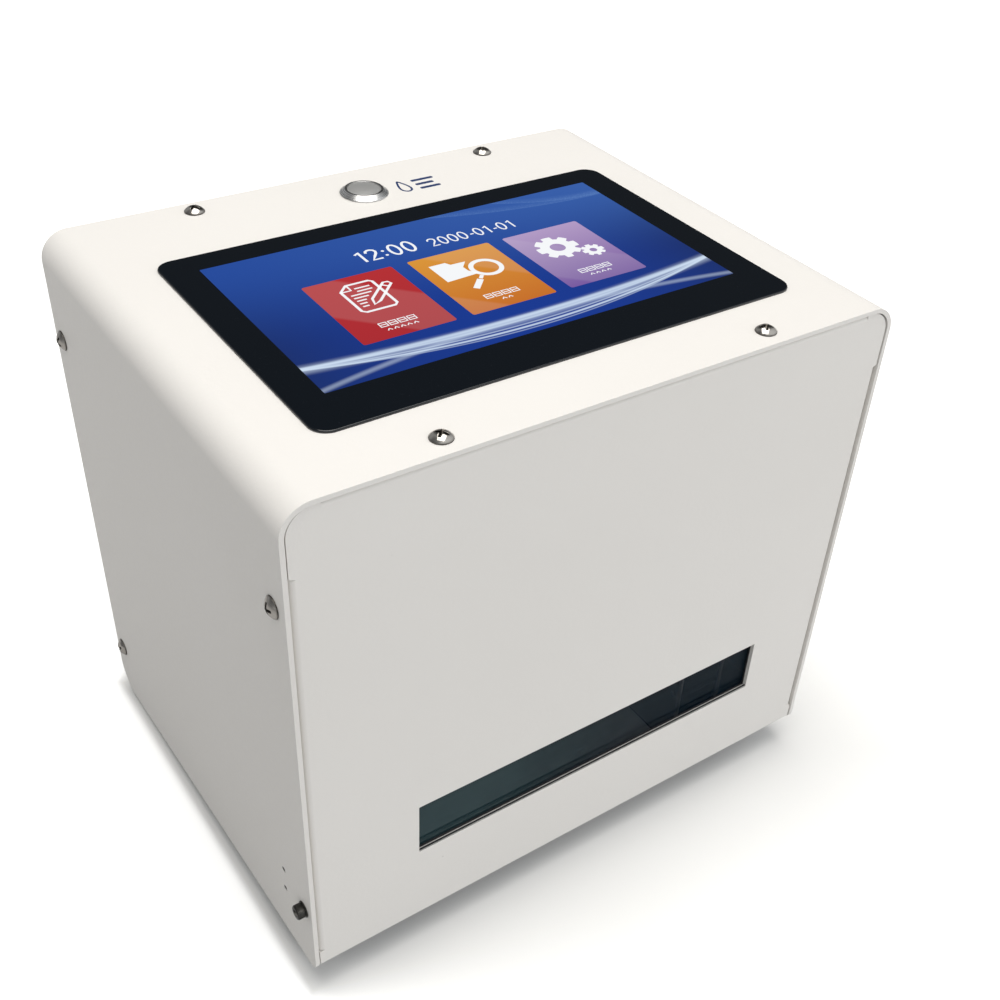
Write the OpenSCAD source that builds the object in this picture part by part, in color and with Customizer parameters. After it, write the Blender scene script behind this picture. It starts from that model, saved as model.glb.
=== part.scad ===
// Desktop date code inkjet printer: a folded steel cover over a chassis of two end panels and a
// base plate, a touch display and a print button on top, a viewing window in front, and a
// belt-driven carriage inside that moves one ink cartridge over the opening in the base.
// Front faces -Y, +X is right as seen from the front, +Z is up. The origin is the centre of the
// object's bounding box on the surface it stands on. Millimetres.

/* [Housing] */
// Outside width of the cover
body_w = 225; // [220:1:236]
// Depth of the cover from its front edge to its rear edge
body_d = 179; // [176:1:190]
// Height of the cover above its own lowest edge
body_h = 208; // [204:1:220]
// Thickness of the folded steel sheets
sheet = 1.6; // [1.2:0.1:2]
// Outside radius of the cover's two long bends
cover_bend_r = 10; // [8:0.5:13]
// Radius of the rear bottom corners of the cover's sides
skirt_corner_r = 12; // [6:0.5:13]
// Radius of their front bottom corners
skirt_front_r = 3.5; // [1:0.5:8]
// Height by which the bottom edges of the sides rise from the rear to the front
skirt_rise = 11; // [0:0.5:12]
// Gap between the cover's lowest edge, at the rear, and the table
foot_gap = 2; // [1.5:0.5:4]
// Height of the end panels' lower edges above the cover's lowest edge
panel_lift = 13; // [12:0.5:16]

/* [Window] */
// Width of the slot in the front panel
slot_w = 150.5; // [130:0.5:155]
// Height of the slot
slot_h = 23.1; // [18:0.1:26]
// Height of the slot's lower edge above the cover's lowest edge
slot_z = 46.5; // [46:0.1:52]
// Sideways shift of the slot's centre
slot_x = 3.9; // [-4:0.1:5]

/* [Display] */
// Width of the display's cover glass
glass_w = 177.5; // [174:0.5:180]
// Depth of the display's cover glass
glass_d = 114.5; // [112:0.5:116]
// Thickness of the cover glass, which lies on top of the cover
glass_t = 0.8; // [0.7:0.1:1.2]
// Radius of the glass corners
glass_corner_r = 6; // [3:0.5:8]
// Distance from the cover's front edge to the glass centre
glass_y = 81.3; // [80:0.1:84]

/* [Print button] */
// Distance from the cover's front edge to the button's axis
button_y = 158.5; // [157:0.5:160]
// Diameter of the button's flange
button_flange_d = 18; // [17.5:0.1:19]
// Travel of the button's cap
button_travel = 1.5; // [1:0.1:1.8]

/* [Carriage] */
// Centre of the carriage at rest, where it is parked at the right
park_x = 66; // [60:1:67]
// Distance that the carriage travels to the left from its rest
carriage_travel = 132; // [100:1:133]
// Height of the rail's centre line above the table
rail_z = 57; // [56:1:60]
// Height of the belt's centre line above the table
belt_z = 102; // [102:1:106]

/* [Hidden] */
$fn = 64;

paint = [0.94, 0.93, 0.90];
zinc = [0.70, 0.71, 0.73];
steel = [0.60, 0.61, 0.62];
stainless = [0.75, 0.75, 0.74];
aluminium = [0.78, 0.79, 0.80];
brass = [0.80, 0.65, 0.30];
black = [0.06, 0.06, 0.07];
smoke = [0.05, 0.12, 0.16];
board_green = [0.05, 0.30, 0.18];

eps = 0.01; // a cut runs this far past the face it starts from
panel_recess = 0.4; // how far the panels' faces lie inside the cover's edges
inlet_flange_t = 3; // the piece that stands out furthest behind the rear panel
rear_proud = inlet_flange_t - panel_recess;
front_y = -(body_d + rear_proud) / 2; // the cover's front edge
rear_y = front_y + body_d; // the cover's rear edge
skirt_z = foot_gap; // the lowest edge of the cover's sides
top_z = foot_gap + body_h; // the cover's top face
inner_w = body_w - 2 * sheet; // between the cover's sides

// End panels
panel_side_gap = 0.5; // between the panels and the cover's sides
panel_top_gap = 0.15; // between the panels and the cover's top
panel_w = inner_w - 2 * panel_side_gap;
panel_z0 = skirt_z + panel_lift;
panel_z1 = top_z - sheet - panel_top_gap;
panel_corner_r = 8.5;
fold_r = 2; // outside radius of the panels' folded edges
flange_d = 15; // depth of the folded edges, from the panel's face
flange_z0 = skirt_z + 20;
flange_z1 = skirt_z + 184;
relief = 0.8; // height of the notch at each end of a folded side edge
top_flange_w = 200;
panel_back = panel_recess + sheet; // the panel's inner face, from the cover's edge

// Fasteners
screw_inset = 7.5; // from the cover's front and rear edges
cap_screw_inset = 5.5;
top_screw_x = 60;
upper_screw_z = skirt_z + 170.5;
cap_screw_z = skirt_z + 39;
rear_screw_z = skirt_z + 25;
m4_r = 2;
m4_clear_r = 2.2;
m3_r = 1.5;
m3_clear_r = 1.6;
head_r = 3.6;
head_h = 2.1;
nut_t = 2.2;
washer_t = 0.5;
pilot_r = 1.2; // the pair of small holes in the cover's sides
pilot_y = 19.8;
pilot_z0 = skirt_z + 34.6;
pilot_pitch = 10;

// Base plate
base_t = 2;
base_z = panel_z0; // its underside
base_top = base_z + base_t;
base_lip = 12; // height of its folded front and rear edges
base_lip_w = 186;
base_w = inner_w - 2;
opening_w = 172; // the opening under the carriage
opening_y0 = front_y + 7;
opening_y1 = front_y + 91;
foot_x = 98;
foot_y = 18; // from the cover's front and rear edges
foot_r = 7;

// Carriage
holder_y0 = front_y + 12; // front edges of the cartridge holder
holder_t = 1.2;
cartridge_w = 19.5;
holder_w = cartridge_w + 0.4 + 2 * holder_t;
holder_d = 76;
holder_y1 = holder_y0 + holder_d; // back face of the holder, on the carriage plate
plate_t = 4;
plate_w = 60;
plate_y1 = holder_y1 + plate_t;
block_t = 10;
block_h = 27;
block_w = 45.4;
rail_w = 12;
rail_t = 8;
rail_base_y = plate_y1 + 13; // the rail's back face
rail_len = carriage_travel + block_w + 20;
beam_d = 20;
beam_h = 40;
beam_len = 202;
beam_y1 = rail_base_y + beam_d;
beam_top = rail_z + beam_h / 2;
bracket_t = 3;

// Drive
belt_w = 6;
belt_t = 1.4;
belt_y = plate_y1 + 3.2; // the belt's front edge
pulley_r = 6.37; // pitch radius of a 20-tooth pulley
motor_x = -87;
idler_x = 90;
motor_size = 42.3;
motor_len = 34;
motor_plate_y = belt_y + 15; // front face of the motor bracket's upright plate
motor_face_y = motor_plate_y + bracket_t;
shaft_r = 2.5;

// Rear connectors, on the rear panel
socket_z = skirt_z + 45;
inlet_x = -82;
switch_x = -55;
usb_x = -24;
rear_face_y = rear_y - panel_recess;
board_rear = rear_y - panel_back - 16; // rear edge of the driver board

// ---------------------------------------------------------------- shapes that repeat

// A centred rectangle with round corners
module rounded_rect(w, d, r) {
    square([w - 2 * r, d], center = true);
    square([w, d - 2 * r], center = true);
    for (x = [-1, 1], y = [-1, 1])
        translate([x * (w / 2 - r), y * (d / 2 - r)]) circle(r);
}

// A rectangle standing on the X axis with its two upper corners round
module arch(w, h, r) {
    translate([-w / 2, 0]) square([w, h - r]);
    translate([r - w / 2, 0]) square([w - 2 * r, h]);
    for (x = [-1, 1]) translate([x * (w / 2 - r), h - r]) circle(r);
}

// Extrudes an XZ profile from y0 towards +Y
module along_y(y0, length) {
    translate([0, y0 + length, 0]) rotate([90, 0, 0]) linear_extrude(length) children();
}

// Extrudes a YZ profile from x0 towards +X
module along_x(x0, length) {
    translate([x0, 0, 0]) rotate([90, 0, 90]) linear_extrude(length) children();
}

// A block with the given low corner and size, its edges along Z rounded
module rounded_block(low, size, r) {
    translate([low.x + size.x / 2, low.y + size.y / 2, low.z])
        linear_extrude(size.z) rounded_rect(size.x, size.y, r);
}

// Cylinders along each axis, starting at the given point
module rod_x(at, r, length) { translate(at) rotate([0, 90, 0]) cylinder(r = r, h = length); }
module rod_y(at, r, length) { translate(at) rotate([-90, 0, 0]) cylinder(r = r, h = length); }
module rod_z(at, r, length) { translate(at) cylinder(r = r, h = length); }

// A hexagonal prism along Z, by its width across flats
module hex(flats, h) { cylinder(r = flats / 2 / cos(30), h = h, $fn = 6); }

// A pan head screw with a cross recess: the head's seat is at z = 0 and the shank points down
module pan_screw(length) {
    dome_r = 4.6;
    recess = [4, 0.9, 1.2]; // length, width and depth of each slot of the cross
    difference() {
        union() {
            intersection() {
                translate([0, 0, head_h - dome_r]) sphere(dome_r);
                cylinder(r = head_r, h = head_h);
            }
            rod_z([0, 0, -length], m4_r, length + eps);
        }
        for (a = [45, 135])
            rotate(a) translate([-recess.x / 2, -recess.y / 2, head_h - recess.z]) cube(recess);
        rod_z([0, 0, head_h - recess.z - 0.3], recess.y, recess.z + 1);
    }
}

// A socket head cap screw with its seat at z = 0
module socket_screw(length) {
    difference() {
        union() {
            cylinder(r = 2.6, h = 2.8);
            rod_z([0, 0, -length], m3_r, length + eps);
        }
        translate([0, 0, 1.4]) hex(2.5, 2);
    }
}

// A low cylinder head screw with a hex socket, its seat at z = 0
module small_screw(r, length) {
    difference() {
        union() {
            cylinder(r = 1.8 * r, h = 1.1 * r);
            rod_z([0, 0, -length], r, length + eps);
        }
        translate([0, 0, 0.5 * r]) hex(1.6 * r, r);
    }
}

// A ring along Z
module ring(outer_r, inner_r, h) {
    difference() {
        cylinder(r = outer_r, h = h);
        translate([0, 0, -eps]) cylinder(r = inner_r, h = h + 2 * eps);
    }
}

// A nut along Z
module nut(flats, bore_r, h) {
    difference() {
        hex(flats, h);
        translate([0, 0, -eps]) cylinder(r = bore_r, h = h + 2 * eps);
    }
}

// The places of the cover's fasteners. Children are drawn with +Z pointing out of the cover.
module at_top_screws(z) {
    for (x = [-top_screw_x, top_screw_x], y = [front_y + screw_inset, rear_y - screw_inset])
        translate([x, y, z]) children();
}

module at_side(x, spots) {
    for (s = [-1, 1], spot = spots)
        translate([s * x, spot.x, spot.y]) rotate([0, s * 90, 0]) children();
}

pan_screw_spots = [
    [front_y + screw_inset, upper_screw_z],
    [rear_y - screw_inset, upper_screw_z],
    [rear_y - screw_inset, rear_screw_z],
];
cap_screw_spot = [front_y + cap_screw_inset, cap_screw_z];

// ---------------------------------------------------------------- housing

module cover_section() {
    difference() {
        translate([0, skirt_z]) arch(body_w, body_h, cover_bend_r);
        translate([0, skirt_z - 1]) arch(inner_w, body_h - sheet + 1, cover_bend_r - sheet);
    }
}

// The side view that slopes the bottom edges of the cover's sides and rounds their corners
module skirt_outline() {
    slope = atan(skirt_rise / body_d);
    function corner(y, r) = [y, skirt_z + (rear_y - y) * tan(slope) + r / cos(slope)];
    function touch(centre, r) = centre - r * [sin(slope), cos(slope)];
    front = corner(front_y + skirt_front_r, skirt_front_r);
    rear = corner(rear_y - skirt_corner_r, skirt_corner_r);
    polygon([
        [front_y, top_z + 1], [front_y, front.y], touch(front, skirt_front_r),
        touch(rear, skirt_corner_r), [rear_y, rear.y], [rear_y, top_z + 1],
    ]);
    translate(front) circle(skirt_front_r);
    translate(rear) circle(skirt_corner_r);
}

module cover() {
    color(paint) difference() {
        intersection() {
            along_y(front_y, body_d) cover_section();
            along_x(-body_w / 2 - 1, body_w + 2) skirt_outline();
        }
        translate([0, front_y + glass_y, top_z - sheet - 1])
            linear_extrude(sheet + 2) rounded_rect(glass_w - 9.5, glass_d - 10.5, 2);
        rod_z([0, front_y + button_y, top_z - sheet - 1], 8.1, sheet + 2);
        at_top_screws(top_z - sheet - 1) cylinder(r = m4_clear_r, h = sheet + 2);
        at_side(body_w / 2 - sheet - 1, pan_screw_spots) cylinder(r = m4_clear_r, h = sheet + 2);
        at_side(body_w / 2 - sheet - 1, [cap_screw_spot]) cylinder(r = m3_clear_r, h = sheet + 2);
        for (s = [-1, 1], i = [0, 1])
            rod_x([s * (body_w - sheet) / 2 - 2, front_y + pilot_y, pilot_z0 + i * pilot_pitch],
                pilot_r, 4);
    }
}

// A folded edge: a quarter bend and a straight leg. The corner of the two faces is the origin,
// the panel lies towards -X, and the leg points to +Y.
module fold_section() {
    intersection() {
        translate([-fold_r, fold_r]) difference() {
            circle(fold_r);
            circle(fold_r - sheet);
        }
        translate([-fold_r, 0]) square(fold_r);
    }
    translate([-sheet, fold_r]) square([sheet, flange_d - fold_r]);
}

module panel_outline() {
    difference() {
        translate([0, panel_z0]) arch(panel_w, panel_z1 - panel_z0, panel_corner_r);
        for (s = [0, 1]) mirror([s, 0])
            translate([panel_w / 2, (flange_z0 + flange_z1) / 2])
                fold_cut(flange_z1 - flange_z0, relief);
        translate([0, panel_z1]) rotate(90) fold_cut(top_flange_w, 0);
    }
}

// What a folded edge of the given length takes out of the flat panel, with a slanting notch at
// each end. The panel's edge is the Y axis and the panel lies towards -X.
module fold_cut(length, notch) {
    half = length / 2;
    polygon([
        [-fold_r, -half], [-fold_r, half], [fold_r, half + 2 * notch], [fold_r, -half - 2 * notch],
    ]);
}

// An end panel with its outer face towards -Y: a plate with its sides and top edge folded back.
// Each side has a screw hole near the top and a lower one. Children are cut out of it.
module end_panel(lower_spot, lower_r) {
    face_y = front_y + panel_recess;
    screw_y = front_y + screw_inset;
    difference() {
        union() {
            along_y(face_y, sheet) panel_outline();
            for (s = [0, 1]) mirror([s, 0, 0])
                translate([panel_w / 2, face_y, flange_z0])
                    linear_extrude(flange_z1 - flange_z0) fold_section();
            translate([0, face_y, panel_z1])
                along_x(-top_flange_w / 2, top_flange_w) mirror([1, -1]) fold_section();
        }
        for (x = [-top_screw_x, top_screw_x])
            rod_z([x, screw_y, panel_z1 - sheet - 1], m4_clear_r, sheet + 2);
        at_side(panel_w / 2 - sheet - 1, [[screw_y, upper_screw_z]])
            cylinder(r = m4_clear_r, h = sheet + 2);
        at_side(panel_w / 2 - sheet - 1, [lower_spot]) cylinder(r = lower_r, h = sheet + 2);
        children();
    }
}

module front_panel() {
    color(paint) end_panel(cap_screw_spot, m3_clear_r)
        along_y(front_y - 1, 5) translate([slot_x, skirt_z + slot_z + slot_h / 2])
            rounded_rect(slot_w, slot_h, 0.4);
}

module rear_panel() {
    vent_count = 12;
    vent_pitch = 9;
    color(paint) mirror([0, 1, 0]) translate([0, -(front_y + rear_y), 0])
        end_panel([front_y + screw_inset, rear_screw_z], m4_clear_r) {
            for (row = [0, 1], i = [0 : vent_count - 1])
                along_y(front_y - 1, 5)
                    translate([(i - (vent_count - 1) / 2) * vent_pitch, skirt_z + 130 + row * 32])
                        rounded_rect(3, 24, 1.4);
            rod_y([inlet_x, front_y - 1, socket_z], 5.6, 5);
            along_y(front_y - 1, 5) translate([switch_x, socket_z]) square([12.6, 19], center = true);
            along_y(front_y - 1, 5) translate([usb_x, socket_z]) square([15.4, 7.4], center = true);
            rod_z([0, front_y + rear_y - button_mid_y, panel_z1 - sheet - 1], 12.5, sheet + 2);
        }
}

// The base: a tray with its front and rear edges folded up behind the end panels
module base_plate() {
    lip_y0 = front_y + panel_back;
    lip_y1 = rear_y - panel_back;
    color(zinc) difference() {
        union() {
            translate([-base_w / 2, lip_y0, base_z]) cube([base_w, lip_y1 - lip_y0, base_t]);
            for (y = [lip_y0, lip_y1 - base_t])
                translate([-base_lip_w / 2, y, base_z]) cube([base_lip_w, base_t, base_t + base_lip]);
        }
        translate([-opening_w / 2, opening_y0, base_z - 1])
            cube([opening_w, opening_y1 - opening_y0, base_t + 2]);
        for (x = [-foot_x, foot_x], y = [front_y + foot_y, rear_y - foot_y])
            rod_z([x, y, base_z - 1], 2.3, base_t + 2);
        at_studs() rod_y([0, -base_t - eps, 0], 1.7, 2 * base_t + 2 * eps);
        at_bracket_screws() rod_z([0, 0, -bracket_t - base_t - 1], m3_clear_r, base_t + 2);
        at_driver_standoffs() rod_z([0, 0, -base_t - 1], m3_clear_r, base_t + 2);
    }
}

// Rubber bumpers pressed through holes in the base
module rubber_feet() {
    color(black) for (x = [-foot_x, foot_x], y = [front_y + foot_y, rear_y - foot_y])
        translate([x, y, 0]) rotate_extrude()
            polygon([
                [0, 0], [foot_r - 1, 0], [foot_r, 1], [foot_r, base_z], [2.2, base_z],
                [2.2, base_top], [3.6, base_top], [2, base_top + 3], [0, base_top + 3],
            ]);
}

// ---------------------------------------------------------------- front window

window_y = front_y + panel_back;
gasket_t = 0.8;
window_t = 3;

module window_gasket() {
    color(black) along_y(window_y, gasket_t)
        translate([slot_x, skirt_z + slot_z + slot_h / 2]) difference() {
            square([slot_w + 12, slot_h + 12], center = true);
            square([slot_w - 0.4, slot_h - 0.4], center = true);
        }
}

module front_window() {
    color(smoke) along_y(window_y + gasket_t, window_t)
        translate([slot_x, skirt_z + slot_z + slot_h / 2])
            square([slot_w + 12, slot_h + 12], center = true);
}

// ---------------------------------------------------------------- display

lcd_t = 5.5;
lcd_w = 165;
lcd_d = 100;
board_gap = 8;
board_t = 1.6;
board_w = 150;
board_d = 88;
glass_mid_y = front_y + glass_y;
lcd_z = top_z - lcd_t;
board_z = lcd_z - board_gap - board_t;

module display_glass() {
    color(black) translate([0, glass_mid_y, top_z])
        linear_extrude(glass_t) rounded_rect(glass_w, glass_d, glass_corner_r);
}

module lcd_module() {
    color(steel) rounded_block([-lcd_w / 2, glass_mid_y - lcd_d / 2, lcd_z], [lcd_w, lcd_d, lcd_t], 1);
}

module at_board_corners(z) {
    for (x = [-1, 1], y = [-1, 1])
        translate([x * (board_w / 2 - 5), glass_mid_y + y * (board_d / 2 - 5), z]) children();
}

module control_board() {
    chips = [[-40, 5, 18, 18], [0, -12, 14, 14], [26, 10, 22, 10], [-8, 22, 10, 8]];
    color(board_green) difference() {
        union() {
            rounded_block([-board_w / 2, glass_mid_y - board_d / 2, board_z],
                [board_w, board_d, board_t], 3);
            for (c = chips)
                translate([c[0] - c[2] / 2, glass_mid_y + c[1] - c[3] / 2, board_z - 1.8])
                    cube([c[2], c[3], 1.8 + eps]);
            for (i = [-1 : 1])
                translate([i * 34 - 12, glass_mid_y + board_d / 2 - 9, board_z - 7]) cube([24, 6, 7 + eps]);
        }
        at_board_corners(board_z - 1) cylinder(r = m3_clear_r, h = board_t + 2);
    }
}

module board_standoffs() {
    color(brass) at_board_corners(board_z + board_t) hex(5, board_gap);
}

module board_screws() {
    color(stainless) at_board_corners(board_z) rotate([180, 0, 0]) small_screw(m3_r, board_t);
}

// ---------------------------------------------------------------- print button

button_mid_y = front_y + button_y;
cap_r = 6.2;
cap_skirt_h = 3.5;
button_bore_r = cap_r + 0.05;
bezel_h = 1.9;
button_depth = 13;

module button_housing() {
    bore_z = top_z + bezel_h - cap_skirt_h - button_travel - 2;
    color(stainless) translate([0, button_mid_y, 0]) difference() {
        rotate_extrude() polygon([
            [0, top_z - button_depth], [8, top_z - button_depth], [8, top_z],
            [button_flange_d / 2, top_z], [button_flange_d / 2, top_z + 0.4],
            [7, top_z + bezel_h], [0, top_z + bezel_h],
        ]);
        rod_z([0, 0, bore_z], button_bore_r, top_z + bezel_h + 1 - bore_z);
    }
}

// The cap has a low dome, and a foot that stays inside the bore over the whole travel
module button_cap() {
    rim_z = top_z + bezel_h - 0.3;
    dome_r = 26;
    dome_h = dome_r - sqrt(dome_r * dome_r - cap_r * cap_r);
    color(stainless) translate([0, button_mid_y, 0]) {
        rod_z([0, 0, rim_z - cap_skirt_h], cap_r, cap_skirt_h);
        intersection() {
            rod_z([0, 0, rim_z - eps], cap_r, dome_h + 1);
            translate([0, 0, rim_z + dome_h - dome_r]) sphere(dome_r, $fn = 96);
        }
    }
}

module button_nut() {
    color(stainless) translate([0, button_mid_y, top_z - sheet - 3]) nut(20, 8.05, 3);
}

// The switch block snapped onto the housing, with its solder tags
module button_switch() {
    block_z = top_z - button_depth - 9;
    color(black) {
        rod_z([0, button_mid_y, block_z], 7.2, 9);
        for (x = [-4, 4])
            translate([x - 1.4, button_mid_y - 0.25, block_z - 5]) cube([2.8, 0.5, 5 + eps]);
    }
}

// ---------------------------------------------------------------- housing fasteners

module cover_top_screws() {
    color(stainless) at_top_screws(top_z) pan_screw(8);
}

module cover_side_screws() {
    color(stainless) at_side(body_w / 2, pan_screw_spots) pan_screw(8);
}

module cap_screws() {
    color(steel) at_side(body_w / 2 + washer_t, [cap_screw_spot]) socket_screw(9);
}

module cap_screw_washers() {
    color(steel) at_side(body_w / 2, [cap_screw_spot]) ring(3, m3_clear_r, washer_t);
}

// Nuts pressed into the inner faces of the end panels' folded edges
module clinch_nuts() {
    color(zinc) {
        at_top_screws(panel_z1 - sheet - nut_t) ring(3.8, m4_r + 0.05, nut_t);
        at_side(panel_w / 2 - sheet - nut_t, pan_screw_spots) ring(3.8, m4_r + 0.05, nut_t);
        at_side(panel_w / 2 - sheet - nut_t, [cap_screw_spot]) ring(3, m3_r + 0.05, nut_t);
    }
}

// Studs welded to the inner faces of the end panels hold the base's folded edges
module at_studs() {
    for (x = [-80, -28, 28, 80]) {
        translate([x, front_y + panel_back, base_top + 6]) children();
        translate([x, rear_y - panel_back, base_top + 6]) mirror([0, 1, 0]) children();
    }
}

module weld_studs() {
    color(zinc) at_studs() rod_y([0, 0, 0], m3_r, base_t + 4);
}

module stud_nuts() {
    color(zinc) at_studs() translate([0, base_t, 0]) rotate([-90, 0, 0]) nut(5.5, m3_r + 0.05, 2.4);
}

// ---------------------------------------------------------------- gantry

// An aluminium box beam carries the rail
module beam() {
    wall = 2;
    color(aluminium) difference() {
        translate([-beam_len / 2, rail_base_y, rail_z - beam_h / 2]) cube([beam_len, beam_d, beam_h]);
        translate([-beam_len / 2 - 1, rail_base_y + wall, rail_z - beam_h / 2 + wall])
            cube([beam_len + 2, beam_d - 2 * wall, beam_h - 2 * wall]);
    }
}

bracket_foot = 26;

module at_bracket_screws() {
    for (s = [-1, 1], y = [-8, 8])
        translate([s * (beam_len / 2 + bracket_t - 18), rail_base_y + beam_d / 2 + y, base_top + bracket_t])
            children();
}

// Angle brackets close the beam's ends and stand on the base
module beam_brackets() {
    depth = 30;
    y0 = rail_base_y + (beam_d - depth) / 2;
    color(zinc) for (s = [0, 1]) mirror([s, 0, 0]) difference() {
        union() {
            translate([beam_len / 2, y0, base_top])
                cube([bracket_t, depth, beam_top - base_top]);
            translate([beam_len / 2 + bracket_t - bracket_foot, y0, base_top])
                cube([bracket_foot, depth, bracket_t]);
        }
        at_bracket_screws() rod_z([0, 0, -bracket_t - 1], m3_clear_r, bracket_t + 2);
    }
}

module bracket_screws() {
    color(stainless) at_bracket_screws() small_screw(m3_r, bracket_t + base_t + 1);
}

rail_groove_h = 2.4;
rail_screw_pitch = 25;
rail_screw_count = 7;

module at_rail_screws() {
    for (i = [0 : rail_screw_count - 1])
        translate([(i - (rail_screw_count - 1) / 2) * rail_screw_pitch, rail_base_y - rail_t, rail_z])
            rotate([90, 0, 0]) children();
}

// A profile rail with a groove along each side for the balls
module linear_rail() {
    rail_front = rail_base_y - rail_t;
    color(steel) difference() {
        along_x(-rail_len / 2, rail_len) translate([rail_front, rail_z - rail_w / 2])
            square([rail_t, rail_w]);
        for (z = [-1, 1])
            along_x(-rail_len / 2 - 1, rail_len + 2) translate([rail_front + 2, rail_z + z * rail_w / 2])
                translate([0, -rail_groove_h / 2]) square([2.2, rail_groove_h]);
        at_rail_screws() {
            rod_z([0, 0, -4.5], 3, 5);
            rod_z([0, 0, -rail_t - 1], 1.75, rail_t + 2);
        }
    }
}

module rail_screws() {
    color(stainless) at_rail_screws() translate([0, 0, -4.5]) difference() {
        union() {
            cylinder(r = 2.75, h = 3);
            rod_z([0, 0, 4.5 - rail_t], m3_r, rail_t - 4.5 + eps);
        }
        translate([0, 0, 1.4]) hex(2.5, 2);
    }
}

// ---------------------------------------------------------------- carriage

head_recess = 2; // the block's screws are sunk in the carriage plate

// The running block: clear of the rail all round by 0.3
module rail_block() {
    run_gap = 0.3;
    color(stainless) difference() {
        along_x(park_x - block_w / 2, block_w)
            translate([plate_y1 + block_t / 2, rail_z]) square([block_t, block_h], center = true);
        translate([park_x - block_w / 2 - 1, rail_base_y - rail_t - run_gap, rail_z - rail_w / 2 - run_gap])
            cube([block_w + 2, rail_t + 5, rail_w + 2 * run_gap]);
        at_block_screws() rod_z([0, 0, head_recess - plate_t - 4], m3_r + 0.05, 5);
    }
}

module at_block_screws() {
    for (x = [-10, 10], z = [-10, 10])
        translate([park_x + x, holder_y1 + head_recess, rail_z + z]) rotate([90, 0, 0]) children();
}

// The plate joins the running block, the cartridge holder and the belt clamp
module carriage_plate() {
    plate_z0 = base_top + 5;
    color(aluminium) difference() {
        along_y(holder_y1, plate_t) translate([park_x, 0]) {
            translate([-plate_w / 2, plate_z0]) square([plate_w, rail_z + 18 - plate_z0]);
            translate([-9, plate_z0]) square([18, belt_z - 3 - plate_z0]);
        }
        at_block_screws() {
            rod_z([0, 0, -plate_t], m3_clear_r, plate_t + 1);
            rod_z([0, 0, 0], 2.85, head_recess + 1);
        }
    }
}

module block_screws() {
    color(stainless) at_block_screws() difference() {
        union() {
            cylinder(r = 2.75, h = 1.7);
            rod_z([0, 0, head_recess - plate_t - 3], m3_r, plate_t - head_recess + 3 + eps);
        }
        translate([0, 0, 0.8]) hex(2, 1);
    }
}

// A block behind the plate with a slit for the belt's lower run
module belt_clamp() {
    slit = 0.35;
    run_z = belt_z - pulley_r;
    color(aluminium) difference() {
        translate([park_x - 8, plate_y1, run_z - 6]) cube([16, belt_y - plate_y1 + belt_w + 2, 10]);
        translate([park_x - 9, belt_y - slit, run_z - belt_t / 2 - slit])
            cube([18, belt_w + 2 * slit, belt_t + 2 * slit]);
    }
}

cartridge_y0 = holder_y0 + 9;
cartridge_d = 63;
cartridge_z0 = base_z - 1; // underside of its body
cartridge_h = 60;
snout_d = 26;
snout_h = 7.5;
holder_z0 = base_top;
holder_h = 56;
latch_y = holder_y0 + 3.2;
latch_z = 45;
latch_pin_r = 1.25;
latch_clear = 0.05;

// A folded stainless cradle, open in front, above and below
module cartridge_holder() {
    color(stainless) difference() {
        union() {
            for (s = [-1, 1])
                translate([park_x + s * (holder_w - holder_t) / 2 - holder_t / 2, holder_y0, holder_z0])
                    cube([holder_t, holder_d, holder_h]);
            translate([park_x - holder_w / 2, holder_y1 - holder_t, holder_z0])
                cube([holder_w, holder_t, holder_h]);
        }
        rod_x([park_x - holder_w / 2 - 1, latch_y, latch_z], latch_pin_r, holder_w + 2);
    }
}

// The contact board behind the cartridge
module pen_board() {
    board_y = holder_y1 - holder_t - board_t;
    color(board_green) {
        translate([park_x - 9, board_y, holder_z0 + 4]) cube([18, board_t, 44]);
        translate([park_x - 6, board_y - 0.8, holder_z0 + 8]) cube([12, 0.8 + eps, 14]);
    }
}

// A thermal inkjet cartridge: a narrow body with its print snout at the bottom rear
module ink_cartridge() {
    grip_h = 4;
    color(black) along_x(park_x - cartridge_w / 2, cartridge_w) translate([cartridge_y0, cartridge_z0]) {
        square([cartridge_d, cartridge_h - grip_h]);
        translate([3, cartridge_h - grip_h - eps]) square([cartridge_d - 12, grip_h]);
        translate([cartridge_d - snout_d, -snout_h]) square([snout_d - 1, snout_h + eps]);
    }
}

// The latch hooks under the cartridge's front edge and turns on a pin through the cheeks
module latch_lever() {
    lever_w = cartridge_w - 0.6;
    hook_t = 2.2;
    hook_z = cartridge_z0 - hook_t - 0.3;
    color(black) difference() {
        along_x(park_x - lever_w / 2, lever_w) {
            translate([latch_y, latch_z]) circle(3);
            translate([latch_y - 1.6, hook_z]) square([3.2, latch_z - hook_z]);
            translate([latch_y - 1.6, hook_z]) square([10, hook_t]);
            translate([latch_y - 2.4, latch_z]) square([2.4, 14]);
        }
        rod_x([park_x - lever_w / 2 - 1, latch_y, latch_z], latch_pin_r + latch_clear, lever_w + 2);
    }
}

module latch_pin() {
    color(stainless) rod_x([park_x - holder_w / 2 - 0.6, latch_y, latch_z], latch_pin_r, holder_w + 1.2);
}

// ---------------------------------------------------------------- home position

sensor_x = park_x + 20;
flag_z = rail_z - beam_h / 2 - 11;
flag_y = rail_base_y + 8;

// A bent strip under the beam, which stands in the sensor's gap when the carriage is parked
module home_flag() {
    color(steel) {
        translate([sensor_x - 4, plate_y1, flag_z]) cube([8, flag_y - plate_y1 + 1, 1]);
        translate([sensor_x - 4, flag_y, flag_z]) cube([8, 1, 8]);
    }
}

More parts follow.
